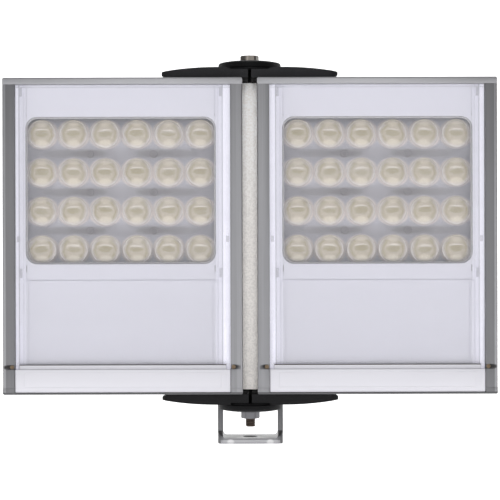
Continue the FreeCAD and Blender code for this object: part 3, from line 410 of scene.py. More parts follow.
def patch(across, up, middle_across, middle_up, half_wide, half_tall):
    """A soft oval: 1 in its middle, 0 beyond its edge."""
    sideways = (across - middle_across) / half_wide
    upward = (up - middle_up) / half_tall
    return 1 - (sideways * sideways + upward * upward).between(0.1, 1.1)


def grained(name, base, tint, gloss, scale, relief, stretch=(1.0, 1.0, 1.0), **constants):
    """A plain finish whose grain moves its tone, its roughness (lowest, spread) and its relief."""
    finish = Finish(name, base, gloss[0], **constants)
    grain = finish.noise(scale, stretch)
    return finish.surface(finish.tint(base, tint, grain), grain * gloss[1] + gloss[0], grain, relief)


@made_once
def anodised_metal():
    """Satin anodised extrusion and bottom plates: fine drawn lines along the height, broader die bands."""
    base = colours().metal
    finish = Finish("anodised metal", base, 0.5, Metallic=1.0)
    lines = finish.noise(1100.0, (1.0, 1.0, 0.01), 4.0, 0.6)
    bands = finish.noise(210.0, (1.0, 1.0, 0.02), 2.0, 0.5)
    cloud = finish.noise(14.0, detail=2.0)
    across, depth, up = finish.axes()
    across = across.absolute()
    aside = (across - MASK_MIDDLE).absolute()
    # Painted shade: each rail's inner strip is darker, more on the outer rails, standing in for the shading
    # of a rounded profile.
    inside = 1 - aside.between(RAIL_LINE - RAIL_SOFT, RAIL_LINE + RAIL_SOFT)
    outer = across.above(MASK_MIDDLE)
    # Painted shade: everything below this height is made much darker.
    foot = up.below(PLATE_SHADE_TOP)
    factor = lines * 0.35 + bands * 0.45 + cloud * 0.2 - inside * (outer * 0.5 + 0.1)
    tone = finish.blend(factor.largest(0.0), scaled(base, 0.62), scaled(base, 1.4))
    tone = finish.blend(foot, tone, scaled(base, 0.42))
    # Painted shadow: a dark oval over the slot in each rail, on the front only.
    slot = patch(aside, up, *SLOT_SHADOW) * depth.below(SLOT_BACK)
    tone = finish.blend(slot * 0.9, tone, srgb(52, 50, 49))
    return finish.surface(tone, lines * 0.16 + cloud * 0.08 + 0.4, lines * 0.6 + bands * 0.4, 0.15, 0.0002)


@made_once
def plate_metal():
    """Top end plates: the same metal, blasted instead of drawn."""
    base = scaled(colours().metal, 1.42)
    finish = Finish("blasted end plate", base, 0.55, Metallic=1.0)
    grain = finish.noise(2600.0, detail=2.0)
    cloud = finish.noise(18.0)
    tone = finish.tint(base, 0.06, grain * 0.5 + cloud * 0.5)
    return finish.surface(tone, cloud * 0.12 + 0.48, grain, 0.15)


@made_once
def bracket_metal():
    """Extruded aluminium bracket with draw lines, its front end painted bright as a highlight, its other
    faces painted darker as shade.
    """
    base = colours().metal
    finish = Finish("bracket metal", base, 0.35, Metallic=1.0)
    lines = finish.noise(1100.0, (1.0, 0.02, 1.0), 4.0, 0.6)
    cloud = finish.noise(40.0)
    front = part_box("bracket")[0].y
    across, depth, up = finish.axes()
    # Painted shade on every face behind the front end (drawn), on the legs and on the top of the base.
    drawn = depth.between(front + LIT_FRONT_DEEP[0], front + LIT_FRONT_DEEP[1])
    above_base = up.between(*BASE_TOP)
    legs = finish.blend(lines * 0.5 + cloud * 0.5, scaled(base, 0.34), scaled(base, 0.46))
    shade = finish.blend(above_base, scaled(base, 0.4), legs)
    # Painted highlight on the front end, brightest along its lower edge, with a painted glint near each
    # corner.
    lit_front = finish.blend(up.between(*BASE_EDGE), scaled(base, 1.2), scaled(base, 0.6))
    lit_front = finish.blend(patch(across.absolute(), up, *BRACKET_GLINT) * 0.35, lit_front, (1.0, 1.0, 1.0))
    lit_front = finish.blend(up.between(*LEG_FOOT), lit_front, legs)
    finish.link("Metallic", 1 - (1 - above_base) * drawn * 0.85)
    tone = finish.blend(drawn, lit_front, shade)
    return finish.surface(tone, lines * 0.15 + cloud * 0.1 + 0.22, lines, 0.15, 0.0002)


@made_once
def white_mask():
    """Matt white moulding: ledges painted lighter and darker at the sides as light and shade, a slightly
    deeper tone at its foot.
    """
    base = colours().mask
    finish = Finish("white mask", base, 0.55, IOR=1.46, Specular_IOR_Level=0.3, Emission_Strength=0.2)
    across, depth, up = finish.axes()
    grain = finish.noise(3200.0, detail=2.0)
    cloud = finish.noise(9.0, detail=2.0)
    aside = ((across + INSERT_SHIFT).absolute() - MASK_MIDDLE).absolute()
    tone = finish.blend(cloud, scaled(base, 0.93), scaled(base, 0.97))
    tone = finish.blend(1 - up.between(*MASK_FOOT), tone, scaled(base, 0.82))
    # Painted light and shade: each ledge is made lighter or darker by its factor.
    for start, factor in LEDGES:
        tone = finish.blend(aside.above(start), tone, scaled(base, factor))
    # Painted shade on the small tabs, so that their outlines show.
    tone = finish.blend(depth.below(TAB_FRONT) * up.above(TABS_FROM), tone, scaled(base, 0.74))
    # Painted shade: a thin dark line near the top.
    tone = finish.blend(up.above(TOP_LINE[0]) * up.below(TOP_LINE[1]), tone, scaled(base, 0.78))
    # Painted shade on the window's chamfer, darkest at its front edge.
    inside = aside.below(WINDOW_SIDE) * up.above(WINDOW_LOW) * up.below(WINDOW_HIGH)
    sunk = depth - MASK_FRONT
    edge = finish.blend(sunk.between(0.0, WINDOW_DEEP), srgb(132, 131, 136), srgb(188, 186, 190))
    # Painted glow: the outermost strips shine faintly, though no lamp is there.
    finish.link("Emission Color", finish.blend(aside.above(PAINTED_GLOW_FROM), (0.0, 0.0, 0.0), base))
    tone = finish.blend(sunk.between(*WINDOW_LIP) * inside, tone, edge)
    return finish.surface(tone, grain * 0.1 + 0.5, grain, 0.05)


@made_once
def white_bar():
    """Semi-gloss white bar, faintly clouded, with a dark line along its lip."""
    base = colours().bar
    finish = Finish("white bar", base, 0.4, IOR=1.46)
    grain = finish.noise(2400.0)
    cloud = finish.noise(12.0, (1.0, 1.0, 3.0), 2.0)
    tone = finish.blend(cloud, scaled(base, 0.94), scaled(base, 0.97))
    _, _, up = finish.axes()
    lip = up.above(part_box("left_bar")[1].z - BAR_LIP)
    tone = finish.blend(lip, tone, srgb(92, 88, 86))
    return finish.surface(tone, cloud * 0.1 + grain * 0.06 + 0.33, grain, 0.04)


@made_once
def clear_cover():
    """Clear sheet: nearly all seen through, with a polished face and a few faint wipe marks."""
    finish = Finish("clear cover", (0.93, 0.94, 1.0), 0.06, IOR=1.49)
    wipes = finish.noise(60.0, (0.25, 1.0, 1.0), 3.0)
    finish.link("Roughness", wipes * 0.08 + 0.03)
    finish.link("Alpha", wipes.between(0.45, 0.8) * 0.03 + 0.07)
    finish.material.surface_render_method = "DITHERED"
    return finish.material


@made_once
def lens_plastic():
    """Cream lens seen through a sheet that smears it sideways."""
    finish = Finish("cream lens", colours().lens, 0.3, IOR=1.49, Specular_IOR_Level=0.25)
    across = finish.value("ShaderNodeAttribute", {"attribute_name": "lens_across"}, output=2)
    up = finish.value("ShaderNodeAttribute", {"attribute_name": "lens_up"}, output=2)
    smear = finish.noise(260.0, (0.16, 1.0, 1.0), 3.0)
    wander = smear * 0.44 - 0.22
    drift = finish.noise(90.0, (0.5, 1.0, 2.0), 2.0) * 0.24 - 0.12
    across = across + drift
    up = up + wander * 0.35
    wide = across * across
    reach = (wide + up * up).power(0.5) + wander * 0.3
    shades = colours()
    cream = shades.lens
    glow = shades.glow
    heart = shades.heart
    ring = reach.between(0.52, 0.74) * (1 - reach.between(0.8, 0.92))
    open_ends = patch(across, up, 0.0, -0.85, 0.62, 0.6).largest(patch(across, up, 0.0, 0.95, 0.6, 0.55))
    tone = finish.blend(ring * (1 - open_ends) * 0.7, cream, heart)
    tone = finish.blend(patch(across, up + wander, 0.0, 0.04, 0.6, 0.27) * 0.8, tone, heart)
    tone = finish.blend(patch(across, up, 0.0, -0.7, 0.6, 0.4) * 0.85, tone, glow)
    tone = finish.blend(patch(across, up + wander, 0.0, 0.78, 0.5, 0.3) * 0.45, tone, glow)
    crescent = up + wide * 0.25
    glint = patch(across, crescent + wander * 0.5, 0.0, 0.32, 0.56, 0.08)
    tone = finish.blend(glint * 0.7, tone, srgb(232, 226, 218))
    tone = finish.blend(smear.between(0.4, 0.7) * 0.14, tone, shades.halo)
    # The pale rim is partly the lens's real rim and partly a painted halo of light, fainter towards the top.
    rim = reach.between(0.66, 0.98) * (1 - up.between(0.35, 0.95) * 0.8)
    tone = finish.blend(rim, tone, shades.halo)
    return finish.surface(tone, smear * 0.2 + 0.25, smear, 0.1, 0.0004)


@made_once
def board_face():
    """Grey ground behind the lenses, with its screws smeared sideways as the lenses are."""
    shades = colours()
    base = shades.board
    finish = Finish("light board", base, 0.6, Specular_IOR_Level=0.3)
    across, _, up = finish.axes()
    across = across * BOARD_BEHIND
    up = (up - EYE_HIGH) * BOARD_BEHIND + EYE_HIGH
    smear = finish.noise(120.0, (0.12, 1.0, 1.0), 3.0)
    tracks = finish.noise(38.0, (0.5, 1.0, 2.0), 1.0)
    tone = finish.blend(smear * 0.6 + tracks * 0.4, scaled(base, 1.01), scaled(base, 1.26))
    local = (across + INSERT_SHIFT).absolute() - MASK_MIDDLE
    rows = (up - SCREW_LOW).repeat(LENS_PITCH_UP)
    near = rows / SMEAR_TALL
    shade = 1 - (near * 0.5).absolute().between(0.2, 1.3)
    tone = finish.blend(shade * 0.35, tone, shades.smudge)
    for reach, strength in ((SMEAR_REACH, 0.6), (SCREW_REACH, 0.9)):
        aside = (local.absolute() - reach) / SMEAR_WIDE
        smudge = 1 - (aside * aside + near * near).between(0.0, 1.3)
        tone = finish.blend(smudge * strength, tone, shades.smudge)
    # Painted halos of light on the board round each lens, meeting between neighbours.
    beside = (local - LENS_PITCH_ACROSS * 0.5).repeat(LENS_PITCH_ACROSS)
    level = (up - SCREW_LOW - LENS_PITCH_UP * 0.5).repeat(LENS_PITCH_UP)
    reach = (beside * beside + level * level * 1.4).power(0.5)
    tone = finish.blend(1 - reach.between(*HALO), tone, scaled(shades.halo, 1.6))
    return finish.surface(tone, smear * 0.2 + 0.45, smear, 0.05)


@made_once
def phosphor():
    """Yellow phosphor of the light chips."""
    base = srgb(228, 190, 84)
    finish = Finish("phosphor", base, 0.6)
    grain = finish.noise(5000.0)
    finish.link("Base Color", finish.tint(base, 0.08, grain))
    finish.bump(grain, 0.2, 0.0001)
    return finish.material


@made_once
def black_moulding():
    """Fine-textured black moulding, deeper on the caps and on the lower arms, with painted shade inside the
    hub.
    """
    base = colours().black
    finish = Finish("black moulding", base, 0.5, IOR=1.5, Specular_IOR_Level=0.12)
    grain = finish.cells(1400.0)
    cloud = finish.noise(70.0)
    across, depth, up = finish.axes()
    depth = depth - HUB_MIDDLE[0]
    reach = (across * across + depth * depth).power(0.5)
    height = (up - HUB_MIDDLE[1]).absolute()
    # Painted shade: near black between the arms in the panels' gap and close round the hub's axis.
    inside = across.absolute().below(ARM_GAP) * height.below(ARM_INSIDE)
    hub_shade = inside.largest((1 - reach.between(*HUB_CORE)) * height.below(CORE_HIGH))
    mottle = cloud * 0.4 + grain * 0.6
    tone = finish.blend(mottle, scaled(base, 0.6), scaled(base, 1.7))
    tone = finish.blend(up.below(HUB_MIDDLE[1]) * 0.55, tone, (0.0, 0.0, 0.0))
    tone = finish.blend(up.above(CAP_FROM) * 0.55, tone, (0.0, 0.0, 0.0))
    tone = finish.blend(hub_shade, tone, scaled(base, 0.15))
    return finish.surface(tone, cloud * 0.12 + grain * 0.1 + 0.5 + inside * 0.4, grain, 0.3, 0.00015)


@made_once
def powder_coat():
    """Off-white textured powder coat: close bumps, darker pits between them, and painted light that makes it
    lighter towards the top.
    """
    base = colours().coat
    finish = Finish("textured powder coat", base, 0.6, IOR=1.45)
    bumps = finish.cells(1250.0)
    coarse = finish.noise(700.0, rough=0.6)
    pits = coarse.between(0.36, 0.62)
    _, _, up = finish.axes()
    speckle = pits * 0.8 + bumps * 0.2
    # A darker copy low down and a lighter one high up: painted light, lighter towards the top.
    low = finish.blend(speckle, scaled(base, 0.94), scaled(base, 1.14))
    high = finish.blend(speckle, scaled(base, 1.06), scaled(base, 1.3))
    tone = finish.blend(up.between(*POST_SHADE), low, high)
    return finish.surface(tone, bumps * 0.15 + 0.5, bumps * 0.5 + coarse, 0.5, 0.0004)


def machined(name, base, dull, sides=0.14):
    """Turned metal with fine tool marks; a duller one scatters more, and its side facets may carry a painted
    dark reflection.
    """
    finish = Finish(name, base, 0.3, Metallic=1.0)
    scratches = finish.noise(1400.0, (1.0, 1.0, 0.2), 4.0, 0.6)
    cloud = finish.noise(120.0)
    across, depth, _ = finish.axes()
    across = across.absolute()
    depth = (depth - HUB_MIDDLE[0]).absolute()
    # Painted dark reflection on the side facets of heads and nuts near the hub's axis.
    facet_reflection = across.between(*FACET) * across.below(HEAD_REACH) * depth.below(HEAD_REACH)
    tone = finish.blend(scratches * 0.5 + cloud * 0.5, scaled(base, 0.86), scaled(base, 1.14))
    tone = finish.blend(facet_reflection * sides, tone, scaled(base, 0.2))
    return finish.surface(tone, scratches * 0.2 + cloud * 0.1 + dull, scratches, 0.15)


@made_once
def bright_steel():
    """Machined stainless steel with a warm cast."""
    return machined("machined steel", colours().steel, 0.18, 0.75)


@made_once
def zinc_plate():
    """Cooler, duller plating of the nuts."""
    return machined("zinc plate", colours().zinc, 0.28)


@made_once
def thread_crest():
    """Crests of the threads, darker than the head."""
    return machined("oiled crest", colours().thread_tone, 0.22)


@made_once
def thread_groove_shade():
    """Painted shade between the turns of the threads."""
    return machined("oiled core", scaled(colours().thread_tone, 0.08), 0.3)


@made_once
def shaded_steel():
    """Screws of the board, dull and blurred behind the cover."""
    base = colours().smudge
    smear = (0.16, 1.0, 1.0)
    return grained("shaded screws", base, 0.12, (0.65, 0.1), 260.0, 0.05, smear, Specular_IOR_Level=0.2)


@made_once
def warm_brass():
    """Brass screw heads, a little dulled."""
    return grained("dull brass", colours().brass, 0.2, (0.25, 0.3), 900.0, 0.1, Metallic=1.0)


@made_once
def soft_seal():
    """Dark rubber of the friction discs at the tilt."""
    return grained("seal rubber", srgb(30, 30, 31), 0.25, (0.65, 0.15), 1800.0, 0.15)


@made_once
def pale_ground():
    """Seamless pale paper, lit from within behind the object and left to the lamps in front of it."""
    base = colours().ground
    finish = Finish("pale ground", base, 0.9, Emission_Strength=0.85)
    fibre = finish.noise(6.0, detail=4.0)
    finish.link("Base Color", finish.tint(base, 0.006, fibre))
    finish.link("Roughness", fibre * 0.05 + 0.85)
    near = finish.axes()[1].between(-1.1, -0.4)
    finish.link("Emission Color", finish.blend(near, (0.12, 0.12, 0.12), (1.0, 1.0, 1.0)))
    return finish.material


def set_material(piece, material):
    piece.data.materials.clear()
    piece.data.materials.append(material)
    return piece


def paint_node(node, material):
    """Gives a CAD node a new finish and leaves its shape alone."""
    return set_material(frame["nodes"][node], material)


def new_piece(name, mesh, material):
    piece = bpy.data.objects.new(name, mesh)
    bpy.context.scene.collection.objects.link(piece)
    return set_material(piece, material)


def body_of(node):
    bodies = frame["record"]["behaviour"]["bodies"]
    return [body for body, members in bodies.items() if node in members][0]


def seat_piece(piece, node, replaces=True):
    """Makes a piece ride with a node's body and, if asked, stand for it."""
    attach(piece, body_of(node))
    if replaces:
        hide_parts(node)
    return piece


def add_shape(node, part, mesh, material, replaces=True):
    """Adds one part of a node's finished form and seats it."""
    return seat_piece(new_piece("%s_%s" % (node, part), mesh, material), node, replaces)


def joined_copy(node):
    """A copy of the node's mesh with its loose triangles joined."""
    work = bmesh.new()
    work.from_mesh(frame["nodes"][node].data)
    bmesh.ops.remove_doubles(work, verts=work.verts, dist=2e-6)
    return work


def solids_of(node):
    """Corners (low, high) of each separate solid of a node, from its own mesh."""
    work = joined_copy(node)
    left_over = set(work.verts)
    boxes = []
    while left_over:
        heap = [left_over.pop()]
        island = list(heap)
        while heap:
            for edge in heap.pop().link_edges:
                for vertex in edge.verts:
                    if vertex in left_over:
                        left_over.remove(vertex)
                        heap.append(vertex)
                        island.append(vertex)
        low = Vector([min(vertex.co[axis] for vertex in island) for axis in range(3)])
        high = Vector([max(vertex.co[axis] for vertex in island) for axis in range(3)])
        boxes.append((low, high))
    work.free()
    return sorted(boxes, key=lambda box: (round(box[0].z, 4), round(box[0].x, 4)))


def finish_mesh(work, name, sharp_degrees=32):
    mesh = bpy.data.meshes.new(name)
    work.to_mesh(mesh)
    work.free()
    for polygon in mesh.polygons:
        polygon.use_smooth = True
    mesh.set_sharp_from_angle(angle=math.radians(sharp_degrees))
    return mesh


def at_front_corner(edge, box):
    """True for an upright edge at either end of a node's front."""
    low, high = box
    near = 0.01 * MM
    return all(vertex.co.y < low.y + near and min(vertex.co.x - low.x, high.x - vertex.co.x) < near
               for vertex in edge.verts)


def soften(node, radius, material, steps=2, rounded=0.0):
    """Stands a copy with broken edges in a node's place; its upright front corners may be rounder."""
    work = joined_copy(node)
    bmesh.ops.dissolve_limit(work, angle_limit=math.radians(0.6), verts=work.verts, edges=work.edges)
    if rounded:
        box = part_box(node)
        bevel(work, [edge for edge in work.edges if at_front_corner(edge, box)], rounded, 5)
    sharp = [edge for edge in work.edges
             if len(edge.link_faces) == 2 and edge.calc_face_angle(0.0) > math.radians(28)]
    bevel(work, sharp, radius, steps)
    bmesh.ops.recalc_face_normals(work, faces=work.faces)
    return add_shape(node, "finished", finish_mesh(work, node + "_finished", 50), material)


def bevel(work, edges, radius, steps):
    bmesh.ops.bevel(work, geom=edges, offset=radius, offset_type="OFFSET", segments=steps, profile=0.5,
                    affect="EDGES", clamp_overlap=True)


def sided(flat, sides, limit=1.0, start=0.0):
    """Reach of a regular outline at an angle, cut back to a circle where its corners pass the limit."""
    half = math.pi / sides

    def reach(angle):
        local = (angle - start) % (2 * half) - half
        return min(limit, flat / math.cos(local))
    return reach


def ringed_mesh(name, levels, steps, closed=False, sharp_degrees=32):
    """A shape about Z from (reach, height) levels; a reach is a radius or a function of the angle."""
    work = bmesh.new()
    rings = []
    for reach, height in levels:
        if not callable(reach) and reach < 1e-7:
            rings.append([work.verts.new((0.0, 0.0, height))])
            continue
        ring = []
        for number in range(steps):
            angle = math.tau * number / steps
            out = reach(angle) if callable(reach) else reach
            ring.append(work.verts.new((out * math.cos(angle), out * math.sin(angle), height)))
        rings.append(ring)
    for lower, upper in zip(rings, rings[1:] + (rings[:1] if closed else [])):
        for number in range(steps):
            following = (number + 1) % steps
            if len(lower) == 1:
                work.faces.new((lower[0], upper[number], upper[following]))
            elif len(upper) == 1:
                work.faces.new((lower[number], lower[following], upper[0]))
            else:
                work.faces.new((lower[number], lower[following], upper[following], upper[number]))
    bmesh.ops.recalc_face_normals(work, faces=work.faces)
    return finish_mesh(work, name, sharp_degrees)


def new_tree(name, inputs):
    """A tree with named inputs that ends in real, painted faces. Gives its inputs and that end too."""
    tree = bpy.data.node_groups.new(name, "GeometryNodeTree")
    sockets = [("Geometry", "Geometry"), *inputs, ("Finish", "Material")]
    for label, kind in sockets:
        tree.interface.new_socket(label, in_out="INPUT", socket_type="NodeSocket" + kind)
    tree.interface.new_socket("Geometry", in_out="OUTPUT", socket_type="NodeSocketGeometry")
    given = tree.nodes.new("NodeGroupInput").outputs
    real = tree.nodes.new("GeometryNodeRealizeInstances")
    paint = tree.nodes.new("GeometryNodeSetMaterial")
    result = tree.nodes.new("NodeGroupOutput")
    tree.links.new(real.outputs[0], paint.inputs["Geometry"])
    tree.links.new(given["Finish"], paint.inputs["Material"])
    tree.links.new(paint.outputs[0], result.inputs[0])
    return tree, given, real.inputs[0]


@made_once
def points_tree():
    """Geometry Nodes that set a copy of a piece on every point, each turned by a seeded amount."""
    inputs = [("Piece", "Object"), ("Turn", "Float"), ("Seed", "Int")]
    tree, given, end = new_tree("pieces on points", inputs)
    source = tree.nodes.new("GeometryNodeObjectInfo")
    spin = tree.nodes.new("FunctionNodeRandomValue")
    spin.data_type = "FLOAT"
    turn = tree.nodes.new("ShaderNodeCombineXYZ")
    set_on = tree.nodes.new("GeometryNodeInstanceOnPoints")
    link = tree.links.new
    link(given["Piece"], source.inputs["Object"])
    link(given["Turn"], spin.inputs[3])
    link(given["Seed"], spin.inputs["Seed"])
    link(spin.outputs[1], turn.inputs["Z"])
    link(given["Geometry"], set_on.inputs["Points"])
    link(source.outputs["Geometry"], set_on.inputs["Instance"])
    link(turn.outputs[0], set_on.inputs["Rotation"])
    link(set_on.outputs[0], end)
    return tree


@made_once
def thread_tree():
    """Geometry Nodes that wind a four-sided ridge, half sunk in the core, into a screw thread."""
    inputs = [(label, "Float") for label in ("Radius", "Length", "Turns", "Ridge")]
    tree, given, end = new_tree("screw thread", inputs)
    spiral = tree.nodes.new("GeometryNodeCurveSpiral")
    spiral.inputs["Resolution"].default_value = 28
    section = tree.nodes.new("GeometryNodeCurvePrimitiveCircle")
    section.inputs["Resolution"].default_value = 4
    sweep = tree.nodes.new("GeometryNodeCurveToMesh")
    sweep.inputs["Fill Caps"].default_value = True
    link = tree.links.new
    link(given["Turns"], spiral.inputs["Rotations"])
    link(given["Radius"], spiral.inputs["Start Radius"])
    link(given["Radius"], spiral.inputs["End Radius"])
    link(given["Length"], spiral.inputs["Height"])
    link(given["Ridge"], section.inputs["Radius"])
    link(spiral.outputs["Curve"], sweep.inputs["Curve"])
    link(section.outputs["Curve"], sweep.inputs["Profile Curve"])
    link(sweep.outputs[0], end)
    return tree


def run_tree(name, tree, mesh, inputs):
    """Runs a Geometry Nodes tree on a mesh and gives the plain mesh that comes out."""
    holder = bpy.data.objects.new(name + "_holder", mesh)
    bpy.context.scene.collection.objects.link(holder)
    modifier = holder.modifiers.new("tree", "NODES")
    modifier.node_group = tree
    keys = {item.name: item.identifier for item in tree.interface.items_tree
            if item.item_type == "SOCKET" and item.in_out == "INPUT"}
    for key, given in inputs.items():
        modifier[keys[key]] = given
    bpy.context.view_layer.update()
    evaluated = holder.evaluated_get(bpy.context.evaluated_depsgraph_get())
    result = bpy.data.meshes.new_from_object(evaluated)
    result.name = name
    holder.modifiers.remove(modifier)
    bpy.data.objects.remove(holder)
    return result


def set_on_points(name, template_mesh, points, material, turn=0.0, seed=1, way=Matrix.Identity(3)):
    """Copies a template, turned to face a way, onto points and returns one piece."""
    mesh = bpy.data.meshes.new(name + "_points")
    backwards = way.inverted()
    mesh.from_pydata([backwards @ Vector(point) for point in points], [], [])
    template = bpy.data.objects.new(name + "_template", template_mesh)
    bpy.context.scene.collection.objects.link(template)
    set_material(template, material)
    inputs = {"Piece": template, "Turn": turn, "Seed": seed, "Finish": material}
    result = run_tree(name, points_tree(), mesh, inputs)
    bpy.data.objects.remove(template)
    result.transform(way.to_4x4())
    result.update()
    return new_piece(name, result, material)


def facing(axis):
    """A turn that carries +Z onto the given axis."""
    return Vector((0.0, 0.0, 1.0)).rotation_difference(Vector(axis)).to_matrix()


def middle(box):
    return (box[0] + box[1]) / 2


def recess_head(name, radius, tall, recess, deep, sides, steps):
    """A screw head about Z with a drive recess of a given number of sides, foot at height 0."""
    flat = recess * math.cos(math.pi / sides)
    levels = [
        (0.0, 0.0), (radius, 0.0), (radius, tall * HEAD_SIDE), (radius * HEAD_TOP, tall),
        (sided(flat, sides), tall), (sided(flat * DRIVE_TAPER, sides), tall - deep), (0.0, tall - deep),
    ]
    return ringed_mesh(name, levels, steps)


def hexagon(flat, low, high, start):
    """Levels of a hexagon whose corners are chamfered at its upper face."""
    levels = [(sided(flat, 6, flat * HEX_CORNER, start), low)]
    for share in (0.0, 0.25, 0.6, 1.0):
        rise = flat * (HEX_CORNER - HEX_CHAMFER) * (1 - share)
        limit = flat * HEX_CHAMFER + rise
        levels.append((sided(flat, 6, limit, start), high - rise * math.tan(math.radians(30))))
    return levels


class Turned:
    """Measures of a bolt or nut node along its own axis, with the threaded end first."""

    def __init__(self, node, axis):
        self.way = facing(axis)
        back = self.way.inverted()
        corners = [back @ vertex.co for vertex in frame["nodes"][node].data.vertices]
        self.centre = Vector([(min(c[k] for c in corners) + max(c[k] for c in corners)) / 2 for k in (0, 1)])
        reaches = [((c.xy - self.centre).length, c) for c in corners]
        self.low = min(c.z for c in corners)
        self.high = max(c.z for c in corners)
        corner_reach, corner = max(reaches, key=lambda pair: pair[0])
        self.shank = max(reach for reach, _ in reaches if reach < corner_reach * 0.8)
        self.flat = corner_reach * math.cos(math.pi / 6)
        self.start = math.atan2(corner.y - self.centre.y, corner.x - self.centre.x)
        self.flange = min(c.z for reach, c in reaches if reach > self.flat * 0.98)

    def seat(self, mesh, along=0.0):
        """Carries a mesh made about Z, from height 0, onto the node's axis."""
        mesh.transform(self.way.to_4x4() @ Matrix.Translation((*self.centre, self.low + along)))
        mesh.update()
        return mesh


class ILLUMINATOR_OT_metalwork(bpy.types.Operator):
    """Extrusions, end plates and bracket with broken edges"""

    bl_idname = "illuminator.metalwork"
    bl_label = "Metalwork"

    def execute(self, context):
        for side in SIDES:
            soften(side + "_housing", sizes().edge_metal, anodised_metal(), rounded=sizes().rail_round)
            soften(side + "_top_plate", sizes().edge_metal, plate_metal())
            soften(side + "_bottom_plate", sizes().edge_metal, anodised_metal())
        soften("bracket", sizes().edge_bracket, bracket_metal(), 3)
        return {"FINISHED"}


class ILLUMINATOR_OT_post(bpy.types.Operator):
    """Post and knuckle in textured powder coat"""

    bl_idname = "illuminator.post"
    bl_label = "Post"

    def execute(self, context):
        soften("post", sizes().edge_post, powder_coat(), 3)
        soften("knuckle", sizes().edge_post, powder_coat(), 3)
        return {"FINISHED"}


class ILLUMINATOR_OT_hub(bpy.types.Operator):
    """Black toothed caps, collars and arms, and the tilt's friction discs"""

    bl_idname = "illuminator.hub"
    bl_label = "Hub"

    def execute(self, context):
        for end in ENDS:
            paint_node(end + "_cap", black_moulding())
            paint_node(end + "_collar", black_moulding())
            for side in SIDES:
                paint_node("%s_%s_arm" % (side, end), black_moulding())
        paint_node("tilt_washers", soft_seal())
        return {"FINISHED"}


class ILLUMINATOR_OT_fronts(bpy.types.Operator):
    """White masks and bars, clear covers, and the boards with their lights"""

    bl_idname = "illuminator.fronts"
    bl_label = "Fronts"

    def execute(self, context):
        for side in SIDES:
            paint_node(side + "_mask", white_mask())
            soften(side + "_bar", sizes().edge_bar, white_bar())
            self.fine_frame(side + "_bar")
            paint_node(side + "_cover", clear_cover())
            paint_node(side + "_board", board_face())
            paint_node(side + "_leds", phosphor())
        return {"FINISHED"}

    @staticmethod
    def fine_frame(node):
        """The fine raised outline moulded on a bar's face."""
        low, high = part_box(node)
        inset = sizes().frame_in
        left, right = low.x + inset, high.x - inset
        foot, top = low.z + FRAME_FOOT, high.z - FRAME_TOP
        wide = sizes().frame_wide
        sunk = 0.1 * MM
        work = bmesh.new()
        rings = []
        for inwards, proud in ((0.0, -sunk), (wide / 2, sizes().frame_proud), (wide, -sunk)):
            depth = low.y - proud
            corners = ((left + inwards, foot + inwards), (right - inwards, foot + inwards),
                       (right - inwards, top - inwards), (left + inwards, top - inwards))
            rings.append([work.verts.new((x, depth, z)) for x, z in corners])
        for number in range(4):
            following = (number + 1) % 4
            for outer, inner in zip(rings, rings[1:] + rings[:1]):
                work.faces.new((outer[number], outer[following], inner[following], inner[number]))
        bmesh.ops.recalc_face_normals(work, faces=work.faces)
        add_shape(node, "frame", finish_mesh(work, node + "_frame"), white_bar(), replaces=False)


class ILLUMINATOR_OT_lenses(bpy.types.Operator):
    """Domed moulded lenses, one on each light"""

    bl_idname = "illuminator.lenses"
    bl_label = "Lenses"

    def execute(self, context):
        for side in SIDES:
            node = side + "_lenses"
            boxes = solids_of(node)
            low, high = boxes[0]
            radius = (high.x - low.x) / 2
            tall = high.y - low.y
            dome = sizes().lens_dome
            rim = sizes().lens_rim
            shoulder = tall - dome
            profile = [(0.0, 0.0), (radius * LENS_FOOT, 0.0)]
            profile += [(radius, shoulder - LENS_EDGE), (radius, shoulder)]
            for number in range(DOME_RINGS):
                angle = number / DOME_RINGS * math.pi / 2
                profile.append(((radius - rim) * math.cos(angle), shoulder + dome * math.sin(angle)))
            profile.append((0.0, tall))
            template = ringed_mesh("lens", profile, 32)
            points = [(middle(box).x, box[1].y, middle(box).z) for box in boxes]
            piece = set_on_points(node + "_moulded", template, points, lens_plastic(), way=facing((0, -1, 0)))
            self.add_own_coordinates(piece.data, boxes, radius)
            seat_piece(piece, node)
        return {"FINISHED"}

    @staticmethod
    def add_own_coordinates(mesh, boxes, radius):
        """Stores where each corner lies on its own lens, as shares of the radius."""
        centres = [middle(box) for box in boxes]
        across = mesh.attributes.new("lens_across", "FLOAT", "POINT")
        up = mesh.attributes.new("lens_up", "FLOAT", "POINT")
        for vertex in mesh.vertices:
            nearest = min(centres, key=lambda c: (c.x - vertex.co.x) ** 2 + (c.z - vertex.co.z) ** 2)
            across.data[vertex.index].value = (vertex.co.x - nearest.x) / radius
            up.data[vertex.index].value = (vertex.co.z - nearest.z) / radius


